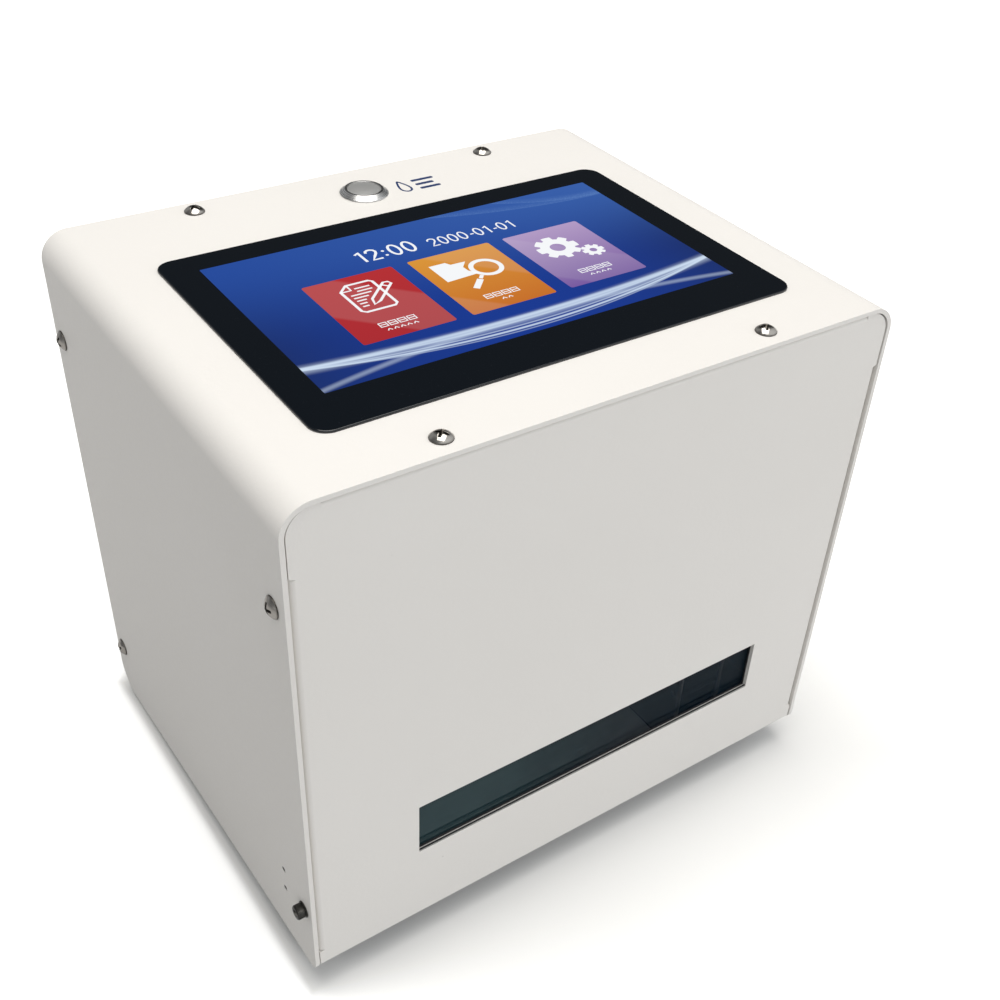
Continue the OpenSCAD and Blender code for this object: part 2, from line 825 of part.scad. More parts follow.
module home_sensor() {
    beam_under = rail_z - beam_h / 2;
    gap = 3.4;
    color(black) along_x(sensor_x - 6, 12) translate([flag_y + 0.5, beam_under]) {
        translate([-6.5, -3]) square([13, 3]);
        for (s = [-1, 1]) translate([s * (gap / 2 + 1.5) - 1.5, -10]) square([3, 8]);
    }
}

// ---------------------------------------------------------------- drive

module stepper_motor() {
    end_t = 8;
    color(black) difference() {
        union() {
            rounded_xz(motor_x, belt_z, motor_size, 4, motor_face_y, motor_len);
            rod_y([motor_x, motor_plate_y + 1, belt_z], 11, motor_face_y - motor_plate_y - 1 + eps);
        }
        rod_y([motor_x, motor_plate_y, belt_z], shaft_r + 0.05, end_t + motor_face_y - motor_plate_y);
    }
}

// A square prism along Y with round edges, centred on an axis at x, z
module rounded_xz(x, z, size, r, y0, length) {
    along_y(y0, length) translate([x, z]) rounded_rect(size, size, r);
}

module motor_bracket() {
    wide = motor_size + 2;
    foot_d = beam_y1 - motor_plate_y;
    color(zinc) difference() {
        union() {
            translate([motor_x - wide / 2, motor_plate_y, beam_top])
                cube([wide, bracket_t, belt_z + motor_size / 2 - beam_top]);
            translate([motor_x - wide / 2, motor_plate_y, beam_top]) cube([wide, foot_d, bracket_t]);
        }
        rod_y([motor_x, motor_plate_y - 1, belt_z], 11.2, bracket_t + 2);
    }
}

module motor_shaft() {
    color(steel) rod_y([motor_x, belt_y - 2.4, belt_z], shaft_r, motor_face_y + 6 - belt_y);
}

// A toothed belt pulley with two flanges and a hub towards the motor
module drive_pulley() {
    teeth = 20;
    color(aluminium) difference() {
        translate([motor_x, belt_y - 2, belt_z]) rotate([-90, 0, 0]) {
            cylinder(r = 8, h = 1.2);
            translate([0, 0, 1.2 - eps]) cylinder(r = pulley_r - 1.2, h = belt_w + 2);
            translate([0, 0, belt_w + 2.8]) cylinder(r = 8, h = 4);
        }
        rod_y([motor_x, belt_y - 3, belt_z], shaft_r + 0.02, belt_w + 10);
        for (i = [0 : teeth - 1])
            translate([motor_x, 0, belt_z]) rotate([0, i * 360 / teeth, 0])
                rod_y([pulley_r - 1.2, belt_y - 0.8 + eps, 0], 0.45, belt_w + 1.6);
    }
}

// A closed belt round both pulleys, drawn as a stadium
module drive_belt() {
    span = idler_x - motor_x;
    module loop(r) {
        translate([0, -r]) square([span, 2 * r]);
        for (x = [0, span]) translate([x, 0]) circle(r);
    }
    color(black) along_y(belt_y, belt_w) translate([motor_x, belt_z]) difference() {
        loop(pulley_r + belt_t / 2);
        loop(pulley_r - belt_t / 2);
    }
}

idler_r = pulley_r - belt_t / 2 - 0.3;

module idler_bracket() {
    wide = 24;
    foot_d = beam_y1 - motor_plate_y;
    color(zinc) difference() {
        union() {
            translate([idler_x - wide / 2, motor_plate_y, beam_top])
                cube([wide, bracket_t, belt_z + 10 - beam_top]);
            translate([idler_x - wide / 2, motor_plate_y, beam_top]) cube([wide, foot_d, bracket_t]);
        }
        rod_y([idler_x, motor_plate_y - 1, belt_z], shaft_r, bracket_t + 2);
    }
}

// A shoulder bolt: head in front, shaft through the bracket, nut behind
module idler_axle() {
    color(steel) {
        rod_y([idler_x, belt_y - 2.9, belt_z], 3.6, 0.8);
        rod_y([idler_x, belt_y - 2.2, belt_z], shaft_r, motor_face_y + 6.2 - belt_y);
        rod_y([idler_x, motor_plate_y - 6.9, belt_z], 3.8, 6.9);
        translate([idler_x, motor_face_y, belt_z]) rotate([-90, 0, 0]) hex(8, 3);
    }
}

module idler_pulley() {
    color(aluminium) difference() {
        translate([idler_x, belt_y - 1.8, belt_z]) rotate([-90, 0, 0]) {
            cylinder(r = 8, h = 1.2);
            translate([0, 0, 1.2 - eps]) cylinder(r = idler_r, h = belt_w + 1.4);
            translate([0, 0, belt_w + 2.4]) cylinder(r = 8, h = 1.2);
        }
        rod_y([idler_x, belt_y - 3, belt_z], shaft_r + 0.05, belt_w + 6);
    }
}

// ---------------------------------------------------------------- electronics and rear sockets

driver_w = 120;
driver_d = 34;
driver_x = 10;
driver_gap = 6;
driver_z = base_top + driver_gap;

module at_driver_standoffs() {
    for (x = [-1, 1], y = [4, driver_d - 4])
        translate([driver_x + x * (driver_w / 2 - 4), board_rear - y, base_top]) children();
}

module driver_board() {
    part_z = driver_z + board_t - eps; // where the parts on the board stand
    color(board_green) difference() {
        union() {
            rounded_block([driver_x - driver_w / 2, board_rear - driver_d, driver_z],
                [driver_w, driver_d, board_t], 2);
            for (i = [-2 : 2])
                translate([driver_x + i * 18 - 6, board_rear - 11, part_z]) cube([12, 8, 9]);
            for (i = [-1, 1])
                translate([driver_x + i * 26 - 7, board_rear - 30, part_z]) cube([14, 14, 7]);
            rod_z([driver_x, board_rear - 20, part_z], 5, 12);
        }
        at_driver_standoffs() rod_z([0, 0, driver_gap - 1], m3_clear_r, board_t + 2);
    }
}

module driver_standoffs() {
    color(brass) at_driver_standoffs() {
        hex(5.5, driver_gap);
        rod_z([0, 0, -base_t], m3_r, base_t + eps);
        rod_z([0, 0, driver_gap - eps], m3_r, board_t + 1.5);
        rod_z([0, 0, driver_gap + board_t], 2.6, 1.4);
    }
}

// A round panel socket for a low-voltage plug, with its nut outside
module power_inlet() {
    color(black) difference() {
        union() {
            rod_y([inlet_x, rear_face_y, socket_z], 7, inlet_flange_t);
            rod_y([inlet_x, rear_face_y - 16, socket_z], 5.4, 17);
        }
        rod_y([inlet_x, rear_face_y - 9, socket_z], 3.2, 9 + inlet_flange_t + 1);
    }
    color(brass) rod_y([inlet_x, rear_face_y - 9 - eps, socket_z], 1.05, 9);
}

// A snap-in rocker switch, its opening shaped for the rocker
rocker_w = 8.6;
rocker_h = 14;
rocker_r = 8.6;
rocker_y = rear_face_y - 4; // the pivot's axis
rocker_pin_r = 1.2;
rocker_tilt = 8; // each way from upright

module switch_housing() {
    color(black) difference() {
        union() {
            along_y(rear_face_y, 1.6) translate([switch_x, socket_z]) rounded_rect(15, 21, 1.2);
            along_y(rear_face_y - 14, 14 + eps) translate([switch_x, socket_z])
                square([12.2, 18.6], center = true);
            for (z = [-5, 5])
                translate([switch_x - 2.4, rear_face_y - 21, socket_z + z - 0.4]) cube([4.8, 7 + eps, 0.8]);
        }
        along_y(rear_face_y - 10, 12) translate([switch_x, socket_z])
            square([rocker_w + 0.8, rocker_h + 2.6], center = true);
        rod_x([switch_x - rocker_w / 2 - 1.2, rocker_y, socket_z], rocker_pin_r + 0.05, rocker_w + 2.4);
    }
}

// The rocker at rest leans to its off side. A shallow valley crosses its face.
module switch_rocker() {
    valley_r = 18;
    valley_y = 5.2;
    color(black) translate([switch_x, rocker_y, socket_z]) rotate([rocker_tilt, 0, 0]) {
        along_x(-rocker_w / 2, rocker_w) difference() {
            intersection() {
                circle(rocker_r);
                translate([-3, -rocker_h / 2]) square([rocker_r, rocker_h]);
            }
            translate([valley_r + valley_y, 0]) circle(valley_r);
        }
        rod_x([-rocker_w / 2 - 1, 0, 0], rocker_pin_r, rocker_w + 2);
    }
}

// A panel-mounted socket with its metal shell and contact tongue
module usb_port() {
    color(steel) difference() {
        union() {
            along_y(rear_face_y, 0.8) translate([usb_x, socket_z]) rounded_rect(19, 10.5, 1);
            along_y(rear_face_y - 15, 15 + eps) translate([usb_x, socket_z]) square([15, 7], center = true);
        }
        along_y(rear_face_y - 12, 14) translate([usb_x, socket_z]) square([12.5, 5.1], center = true);
    }
    color(black) along_y(rear_face_y - 12 - eps, 10.5) translate([usb_x, socket_z + 1.1])
        square([11.2, 1.8], center = true);
}

// ---------------------------------------------------------------- nodes

cover();
front_panel();
rear_panel();
base_plate();
rubber_feet();
front_window();
window_gasket();
display_glass();
lcd_module();
control_board();
board_standoffs();
board_screws();
button_housing();
button_cap();
button_nut();
button_switch();
cover_top_screws();
cover_side_screws();
cap_screws();
cap_screw_washers();
clinch_nuts();
weld_studs();
stud_nuts();
beam();
beam_brackets();
bracket_screws();
linear_rail();
rail_screws();
rail_block();
carriage_plate();
block_screws();
belt_clamp();
cartridge_holder();
pen_board();
ink_cartridge();
latch_lever();
latch_pin();
home_flag();
home_sensor();
stepper_motor();
motor_bracket();
motor_shaft();
drive_pulley();
drive_belt();
idler_bracket();
idler_axle();
idler_pulley();
driver_board();
driver_standoffs();
power_inlet();
switch_housing();
switch_rocker();
usb_port();
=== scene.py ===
import math

import bmesh
import bpy
from mathutils import Matrix, Quaternion, Vector


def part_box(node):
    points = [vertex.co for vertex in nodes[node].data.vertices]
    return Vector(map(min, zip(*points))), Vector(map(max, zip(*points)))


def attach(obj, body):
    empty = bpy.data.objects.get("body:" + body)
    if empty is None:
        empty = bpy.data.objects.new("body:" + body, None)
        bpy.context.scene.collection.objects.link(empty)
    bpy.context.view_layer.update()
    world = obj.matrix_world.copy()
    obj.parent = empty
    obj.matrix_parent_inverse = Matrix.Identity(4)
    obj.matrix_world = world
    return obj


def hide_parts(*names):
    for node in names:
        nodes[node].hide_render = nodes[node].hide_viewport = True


# Looks of the desktop date code inkjet printer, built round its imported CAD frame.
# Metres, in the row's frame: the front faces -Y, +X is right as seen from the front, +Z is up.

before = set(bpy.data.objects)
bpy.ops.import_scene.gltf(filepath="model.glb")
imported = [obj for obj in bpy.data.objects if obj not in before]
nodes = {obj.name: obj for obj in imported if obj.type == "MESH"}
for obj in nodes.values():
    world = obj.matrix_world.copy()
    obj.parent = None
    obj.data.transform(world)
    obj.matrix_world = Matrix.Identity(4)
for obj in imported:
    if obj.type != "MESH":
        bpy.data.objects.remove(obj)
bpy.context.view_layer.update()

MM = 0.001


def middle(name):
    low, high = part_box(name)
    return (low + high) / 2


# ---------------------------------------------------------------- node graphs


class Graph:
    """A material's or a world's nodes, with short calls to make and join them."""

    def __init__(self, name, kind="materials"):
        self.material = getattr(bpy.data, kind).new(name)
        self.material.use_nodes = True
        self.tree = self.material.node_tree
        self.shader = self.tree.nodes.get("Principled BSDF")
        coordinates = self.tree.nodes.new("ShaderNodeTexCoord").outputs
        self.place = coordinates["Object"] if self.shader else coordinates["Generated"]

    def add(self, kind, **settings):
        node = self.tree.nodes.new(kind)
        for key, value in settings.items():
            setattr(node, key, value)
        return node

    def feed(self, socket, value):
        """Links a socket to an input, or sets the input to a number, colour or vector."""
        if isinstance(value, bpy.types.NodeSocket):
            self.tree.links.new(value, socket)
        elif value is not None:
            socket.default_value = value

    def set(self, **values):
        """Sets the shader's sockets: base_color=..., roughness=..., and so on."""
        for key, value in values.items():
            name = key.replace("_", " ").title().replace("Ior", "IOR")
            self.feed(self.shader.inputs[name], (*value, 1.0) if isinstance(value, tuple) else value)

    def math(self, operation, a, b=None, c=None, clamp=False):
        """A math node on up to three sockets or numbers."""
        node = self.add("ShaderNodeMath", operation=operation, use_clamp=clamp)
        for socket, value in zip(node.inputs, (a, b, c)):
            self.feed(socket, value)
        return node.outputs[0]

    def axes(self, place=None):
        """The x, y and z of a place, by default the piece's own, in metres."""
        node = self.add("ShaderNodeSeparateXYZ")
        self.feed(node.inputs[0], place or self.place)
        return node.outputs

    def stretched(self, scale):
        """The place with each axis multiplied, so that a texture runs along the smallest one."""
        node = self.add("ShaderNodeVectorMath", operation="MULTIPLY")
        self.feed(node.inputs[0], self.place)
        node.inputs[1].default_value = scale
        return node.outputs[0]

    def noise(self, scale, detail=2.0, roughness=0.5, place=None):
        node = self.add("ShaderNodeTexNoise")
        self.feed(node.inputs["Vector"], place or self.place)
        node.inputs["Scale"].default_value = scale
        node.inputs["Detail"].default_value = detail
        node.inputs["Roughness"].default_value = roughness
        return node.outputs["Fac"]

    def cells(self, scale, output="Distance", feature="F1", place=None):
        node = self.add("ShaderNodeTexVoronoi", feature=feature)
        self.feed(node.inputs["Vector"], place or self.place)
        node.inputs["Scale"].default_value = scale
        return node.outputs[output]

    def span(self, value, low, high, to_low=0.0, to_high=1.0, smooth=False):
        """Maps value from low..high to to_low..to_high, clamped."""
        node = self.add("ShaderNodeMapRange", clamp=True)
        node.interpolation_type = "SMOOTHSTEP" if smooth else "LINEAR"
        for socket, number in zip(node.inputs, (value, low, high, to_low, to_high)):
            self.feed(socket, number)
        return node.outputs[0]

    def mix(self, factor, a, b, blend="MIX"):
        """A colour mix of a and b, each a socket or (r, g, b)."""
        node = self.add("ShaderNodeMix", data_type="RGBA", blend_type=blend)
        self.feed(node.inputs["Factor"], factor)
        for socket, value in ((node.inputs[6], a), (node.inputs[7], b)):
            self.feed(socket, (*value, 1.0) if isinstance(value, tuple) else value)
        return node.outputs[2]

    def bump(self, height, distance, strength=1.0, under=None):
        """Joins a bump to the shader, over another one if that is given, and returns it."""
        node = self.add("ShaderNodeBump")
        node.inputs["Strength"].default_value = strength
        node.inputs["Distance"].default_value = distance
        self.feed(node.inputs["Height"], height)
        if under is not None:
            self.feed(node.inputs["Normal"], under)
        self.feed(self.shader.inputs["Normal"], node.outputs[0])
        return node.outputs[0]

    def toward(self, direction):
        """How far the place, as a direction, points along another one: 1 is straight along it."""
        node = self.add("ShaderNodeVectorMath", operation="DOT_PRODUCT")
        self.feed(node.inputs[0], self.place)
        node.inputs[1].default_value = Vector(direction).normalized()
        return node.outputs["Value"]

    def attribute(self, name):
        """A number stored on the mesh's vertices."""
        return self.add("ShaderNodeAttribute", attribute_name=name).outputs["Fac"]


# ---------------------------------------------------------------- materials


def powder_coat():
    """Off-white textured powder coat: orange peel, faint patches, rubbed edges and a few specks."""
    g = Graph("powder_coat_white")
    patches = g.noise(9.0, detail=3.0)
    paint = g.mix(patches, (0.80, 0.775, 0.735), (0.835, 0.81, 0.775))
    rubbed = g.math("MULTIPLY", g.attribute("edge"), g.span(g.noise(260.0), 0.5, 0.72))
    paint = g.mix(g.math("MULTIPLY", rubbed, 0.35), paint, (0.42, 0.41, 0.39))
    specks = g.math("LESS_THAN", g.cells(55.0), 0.018)
    some = g.math("GREATER_THAN", g.noise(21.0), 0.60)
    specks = g.math("MULTIPLY", specks, some)
    paint = g.mix(g.math("MULTIPLY", specks, 0.25), paint, (0.25, 0.24, 0.22))
    peel = g.noise(620.0, detail=1.5)
    grain = g.noise(2600.0, detail=1.0)
    g.set(base_color=paint, roughness=g.span(peel, 0.3, 0.7, 0.40, 0.52), specular_ior_level=0.42)
    g.bump(grain, 0.000012, under=g.bump(peel, 0.00005, 0.8))
    return g.material


def plated_steel(name, tint, rough_low, rough_high, spangle=0.0, scale=240.0):
    """Bright plated sheet: flakes of slightly different brightness, and fine handling marks."""
    g = Graph(name)
    flakes = g.cells(scale, output="Color")
    shade = g.span(g.axes(flakes)[0], 0.0, 1.0, 1.0 - spangle, 1.0)
    colour = g.mix(shade, tuple(0.55 * c for c in tint), tint)
    smudge = g.noise(60.0, detail=4.0)
    g.set(base_color=colour, metallic=1.0, roughness=g.span(smudge, 0.3, 0.7, rough_low, rough_high))
    g.bump(g.noise(1500.0, detail=2.0), 0.00002, 0.5)
    return g.material


def lined_metal(name, tint, stretch, rough_low, rough_high):
    """Brushed, ground or extruded metal: fine lines along the axis whose stretch is small."""
    g = Graph(name)
    lines = g.noise(1.0, detail=4.0, roughness=0.6, place=g.stretched(stretch))
    smudge = g.noise(45.0, detail=3.0)
    colour = g.mix(lines, tuple(0.82 * c for c in tint), tint)
    rough = g.span(lines, 0.3, 0.7, rough_low, rough_high)
    rough = g.math("ADD", rough, g.math("MULTIPLY", smudge, 0.06))
    g.set(base_color=colour, metallic=1.0, roughness=rough)
    g.bump(lines, 0.00001, 0.6)
    return g.material


def turned_metal(name, tint, centre, rough_low, rough_high, metallic=1.0):
    """Lathe-turned metal: fine rings about an upright axis through the centre, and stray scratches."""
    ring_pitch, depth = 0.00018, 0.000004
    g = Graph(name)
    squares = []
    for coordinate, offset in zip(g.axes()[:2], centre[:2]):
        away = g.math("SUBTRACT", coordinate, offset)
        squares.append(g.math("MULTIPLY", away, away))
    radius = g.math("SQRT", g.math("ADD", *squares))
    ring_place = g.add("ShaderNodeCombineXYZ")
    g.feed(ring_place.inputs[0], radius)
    rings = g.noise(1.0 / ring_pitch, detail=3.0, place=ring_place.outputs[0])
    scratches = g.noise(1.0, detail=2.0, place=g.stretched((900.0, 160.0, 900.0)))
    colour = g.mix(rings, tuple(0.85 * c for c in tint), tint)
    g.set(base_color=colour, metallic=metallic)
    g.set(roughness=g.span(rings, 0.3, 0.7, rough_low, rough_high))
    g.bump(scratches, depth, 0.2, under=g.bump(rings, depth, 0.4))
    return g.material


def moulded(name, colour, roughness, grain=1400.0, depth=0.00003):
    """Moulded plastic or rubber: spark-eroded grain, with faint dust in patches."""
    g = Graph(name)
    pits = g.noise(grain, detail=2.0)
    dust = g.span(g.noise(70.0, detail=4.0), 0.45, 0.8, 0.0, 0.10)
    shade = g.mix(dust, colour, (0.30, 0.29, 0.28))
    g.set(base_color=shade, roughness=g.span(pits, 0.3, 0.7, roughness - 0.06, roughness + 0.06))
    g.set(specular_ior_level=0.4)
    g.bump(pits, depth, 0.6)
    return g.material


def foam():
    """Black closed-cell foam, with fine pores."""
    g = Graph("foam_black")
    pores = g.cells(1600.0)
    g.set(base_color=g.mix(pores, (0.012, 0.012, 0.013), (0.03, 0.03, 0.032)), roughness=0.9)
    g.bump(pores, 0.0001, 0.8)
    return g.material


def circuit_board(name, axis, at_top):
    """Green solder mask with tracks and pads on the bare board, and dark mouldings for its parts.
    The board lies across an axis, at the top or the bottom of its node's box."""
    g = Graph(name + "_green")
    board_t, skin = 1.6 * MM, 0.1 * MM
    low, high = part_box(name)
    low_z = high[axis] - board_t if at_top else low[axis]
    high_z = low_z + board_t
    z = g.axes()[axis]
    tracks = g.cells(260.0, feature="DISTANCE_TO_EDGE", place=g.stretched((1.0, 1.6, 0.0)))
    track_edge = g.span(tracks, 0.05, 0.09)
    mask = g.mix(track_edge, (0.015, 0.16, 0.07), (0.008, 0.075, 0.035))
    pads = g.math("LESS_THAN", g.cells(190.0), 0.13)
    mask = g.mix(pads, mask, (0.72, 0.70, 0.62))
    above = g.math("GREATER_THAN", z, high_z + skin)
    below = g.math("LESS_THAN", z, low_z - skin)
    part = g.math("ADD", above, below, clamp=True)
    body = g.mix(g.noise(300.0), (0.015, 0.015, 0.016), (0.03, 0.03, 0.032))
    g.set(base_color=g.mix(part, mask, body), roughness=g.span(part, 0.0, 1.0, 0.32, 0.55))
    g.bump(track_edge, 0.00003, 0.5)
    return g.material


def smoked_acrylic():
    """Tinted clear sheet with a polished surface. Its left half has a lighter colour, a painted
    reflection, and is also more opaque and mirrors more.
    """
    g = Graph("smoked_acrylic")
    haze = g.noise(120.0, detail=3.0)
    # painted reflection: a lighter colour over the left half, with a noisy border
    left_sheen_edge = g.math("MULTIPLY_ADD", haze, 0.03, g.axes()[0])
    left_sheen = g.span(left_sheen_edge, -0.04, 0.05, 1.0, 0.0, smooth=True)
    g.set(base_color=g.mix(left_sheen, (0.001, 0.009, 0.019), (0.017, 0.037, 0.042)))
    g.set(roughness=g.span(haze, 0.3, 0.7, 0.04, 0.08), alpha=g.span(left_sheen, 0.0, 1.0, 0.52, 0.92))
    g.set(specular_ior_level=g.span(left_sheen, 0.0, 1.0, 0.16, 0.36), specular_tint=(0.50, 0.86, 0.95))
    return g.material


def screw_steel():
    """Bright screw heads, darkened in their recesses and round their rims by painted shade that noise
    makes patchy.
    """
    g = Graph("screw_steel")
    blotches = g.noise(700.0, detail=3.0)
    # painted shade: the recesses and the rim under the head are darkened, in patches
    painted_shade = g.math("MULTIPLY", g.attribute("painted_shade"), g.span(blotches, 0.2, 0.6, 0.7, 1.0))
    steel = g.mix(g.noise(1400.0), (0.48, 0.45, 0.41), (0.58, 0.55, 0.51))
    g.set(base_color=g.mix(painted_shade, steel, (0.030, 0.026, 0.021)), metallic=1.0)
    g.set(roughness=g.span(painted_shade, 0.0, 1.0, 0.13, 0.45))
    g.bump(blotches, 0.00001, 0.4)
    return g.material


def holder_steel():
    """Satin sheet steel, dull on its faces, with a painted highlight along its sheared front edges:
    near white there and less metallic.
    """
    g = Graph("holder_satin")
    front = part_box("cartridge_holder")[0].y
    # painted highlight: the front edges are made near white, so they show as bright streaks through
    # the window
    edge = g.span(g.axes()[1], front + 0.2 * MM, front + 1.4 * MM, 1.0, 0.0)
    lines = g.noise(1.0, detail=4.0, place=g.stretched((60.0, 60.0, 2200.0)))
    face = g.mix(lines, (0.30, 0.30, 0.30), (0.40, 0.40, 0.39))
    g.set(base_color=g.mix(edge, face, (0.95, 0.95, 0.94)))
    g.set(metallic=g.span(edge, 0.0, 1.0, 1.0, 0.3), roughness=g.span(lines, 0.3, 0.7, 0.36, 0.50))
    g.bump(lines, 0.00001, 0.6)
    return g.material


UNLIT_GLASS = (0.004, 0.006, 0.009)


def black_glass():
    """Cover glass printed black from behind: polished, with finger marks and dust."""
    g = Graph("display_glass_black")
    marks = g.noise(55.0, detail=5.0, roughness=0.6)
    dust = g.math("LESS_THAN", g.cells(900.0), 0.05)
    shade = g.mix(g.math("MULTIPLY", dust, 0.35), UNLIT_GLASS, (0.10, 0.11, 0.12))
    g.set(base_color=shade, roughness=g.span(marks, 0.4, 0.75, 0.05, 0.14))
    return g.material


def srgb(*levels):
    """A linear colour from display levels of 0 to 255."""
    return tuple((level / 255.0) ** 2.2 for level in levels)


def lit(name, colour):
    """A picture under the display's glass: it glows in its own colour and mirrors a little.
    The colour is one colour, or a function that makes it from the graph."""
    g = Graph(name)
    colour = colour(g) if callable(colour) else colour
    grid = g.cells(3200.0)
    g.set(base_color=UNLIT_GLASS, roughness=g.span(grid, 0.0, 0.5, 0.08, 0.12))
    g.set(specular_ior_level=0.5, emission_color=colour, emission_strength=1.0)
    return g.material


def wallpaper(g):
    """Deep blue with pale swooshes along the bottom and a dotted wave at the top right."""
    x, y, _ = g.axes()
    u = g.span(x, SCREEN_X0, SCREEN_X1)
    v = g.span(y, SCREEN_Y1, SCREEN_Y0)
    side = g.math("SUBTRACT", u, 0.5)
    side_2 = g.math("MULTIPLY", side, side)
    top = g.mix(u, srgb(36, 72, 152), srgb(54, 92, 166))
    low = g.mix(g.span(side_2, 0.0, 0.25), srgb(20, 54, 140), srgb(24, 46, 108))
    colour = g.mix(g.span(v, 0.0, 0.75, smooth=True), top, low)
    # each pale swoosh: its height at the middle, bend, half width and strength
    for height, bend, half, strength in (
        (0.900, -0.26, 0.045, 0.45), (0.885, -0.22, 0.018, 0.80), (0.905, -0.32, 0.010, 0.70),
        (0.890, 0.38, 0.022, 0.35), (0.955, -0.48, 0.010, 0.90), (0.936, -0.42, 0.007, 0.60),
        (0.972, -0.56, 0.006, 0.45),
    ):
        centre = g.math("MULTIPLY_ADD", side_2, bend, height)
        away = g.math("ABSOLUTE", g.math("SUBTRACT", v, centre))
        glow = g.span(away, 0.0, half, strength, 0.0, smooth=True)
        colour = g.mix(glow, colour, srgb(205, 222, 242))
    right = g.math("SUBTRACT", 1.0, u)
    right_2 = g.math("MULTIPLY", right, right)
    dots = g.span(g.cells(1900.0), 0.15, 0.4, 1.0, 0.3)
    # each dotted wave: its height at the right end, and its bend
    for height, bend in ((0.136, -0.65), (0.129, -1.66)):
        away = g.math("SUBTRACT", g.math("MULTIPLY_ADD", right_2, bend, height), v)
        past = g.math("GREATER_THAN", away, 0.0)
        glow = g.math("MULTIPLY", g.span(away, 0.0, 0.05, 0.45, 0.0), past)
        colour = g.mix(g.math("MULTIPLY", glow, dots), colour, srgb(120, 160, 215))
    return colour


def tile_colour(low, high):
    """A tile that is paler at the top, with a glossy half below its diagonal."""
    def colour(g):
        x, y, _ = g.axes()
        shade = g.mix(g.span(y, TILE_Y0, TILE_Y1), low, high)
        gloss = g.math("SINE", g.math("MULTIPLY", g.math("ADD", x, y), 95.0))
        return g.mix(g.span(gloss, -0.1, 0.1, 0.0, 0.05), shade, srgb(255, 255, 255))
    return colour


def worn_ink(name, colour):
    """A printed mark with pinholes, on the powder coat."""
    g = Graph(name)
    pinholes = g.math("GREATER_THAN", g.noise(900.0, detail=3.0), 0.72)
    g.set(base_color=g.mix(pinholes, colour, (0.45, 0.45, 0.46)), roughness=0.45)
    g.bump(g.noise(620.0), 0.00002, 0.5)
    return g.material


MATERIALS = {}


def material(name):
    """One material per name, made when it is first asked for."""
    if name not in MATERIALS:
        MATERIALS[name] = MAKERS[name]()
    return MATERIALS[name]


BUTTON_AT = middle("button_cap")
COVER_LOW, COVER_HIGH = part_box("cover")
GLASS_LOW, GLASS_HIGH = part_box("display_glass")
SCREEN_X0, SCREEN_X1 = -77.1 * MM, 76.9 * MM
SCREEN_Y0, SCREEN_Y1 = -49.0 * MM, 36.9 * MM
TILE_Y0, TILE_Y1 = -31.0 * MM, 10.2 * MM

# what makes each look: by the name of a record slot, of a CAD node, or of a part of the display
MAKERS = {
    "powder_coat": powder_coat,
    "zinc_steel": lambda: plated_steel("zinc_plate", (0.62, 0.64, 0.66), 0.30, 0.46, 0.35),
    "rubber": lambda: moulded("rubber_black", (0.018, 0.018, 0.018), 0.75, 900.0, 0.00006),
    "smoked_acrylic": smoked_acrylic,
    "foam_tape": foam,
    "lcd_frame": lambda: lined_metal(
        "lcd_frame_steel", (0.62, 0.62, 0.61), (3000.0, 60.0, 60.0), 0.28, 0.42
    ),
    "control_board": lambda: circuit_board("control_board", 2, at_top=True),
    "pen_board": lambda: circuit_board("pen_board", 1, at_top=True),
    "display_glass": black_glass,
    "picture": lambda: lit("screen_picture", wallpaper),
    "tile_red": lambda: lit("tile_red", tile_colour(srgb(168, 40, 44), srgb(178, 44, 46))),
    "tile_orange": lambda: lit("tile_orange", tile_colour(srgb(196, 108, 34), srgb(216, 146, 52))),
    "tile_purple": lambda: lit("tile_purple", tile_colour(srgb(118, 88, 156), srgb(176, 152, 194))),
    "picture_white": lambda: lit("picture_white", srgb(244, 246, 248)),
    "mark_ink": lambda: worn_ink("mark_ink_blue", (0.012, 0.035, 0.13)),
    "driver_board": lambda: circuit_board("driver_board", 2, at_top=False),
    "brass": lambda: lined_metal("brass_turned", (0.78, 0.58, 0.26), (90.0, 90.0, 2600.0), 0.2, 0.34),
    "stainless": lambda: plated_steel("stainless_bright", (0.66, 0.65, 0.63), 0.12, 0.22),
    "button_steel": lambda: turned_metal(
        "button_stainless", (0.64, 0.635, 0.625), BUTTON_AT, 0.20, 0.32
    ),
    "button_cap": lambda: turned_metal(
        "button_satin", (0.50, 0.50, 0.49), BUTTON_AT, 0.38, 0.50, metallic=0.55
    ),
    "cartridge_holder": holder_steel,
    "screw_steel": screw_steel,
    "dark_steel": lambda: plated_steel("black_oxide", (0.075, 0.073, 0.068), 0.16, 0.32, 1.0, 900.0),
    "ground_steel": lambda: lined_metal(
        "ground_steel", (0.60, 0.60, 0.60), (40.0, 2400.0, 2400.0), 0.16, 0.28
    ),
    "aluminium": lambda: lined_metal(
        "aluminium_plain", (0.76, 0.77, 0.78), (30.0, 1500.0, 1500.0), 0.30, 0.44
    ),
    "motor_steel": lambda: moulded("motor_black", (0.02, 0.02, 0.022), 0.42, 700.0),
    "belt_rubber": lambda: moulded("belt_black", (0.02, 0.02, 0.02), 0.7, 1100.0, 0.00004),
    "black_plastic": lambda: moulded("plastic_black", (0.014, 0.014, 0.015), 0.42),
}


# ---------------------------------------------------------------- mesh work


def new_piece(name, mesh, body, look, replaces=(), smooth=True):
    """Links a mesh as a piece that rides on a body.
    It has a look, and the CAD nodes that it replaces."""
    obj = bpy.data.objects.new(name, mesh)
    bpy.context.scene.collection.objects.link(obj)
    mesh.materials.clear()
    mesh.materials.append(look)
    if smooth:
        mesh.shade_smooth()
    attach(obj, body)
    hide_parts(*replaces)
    return obj


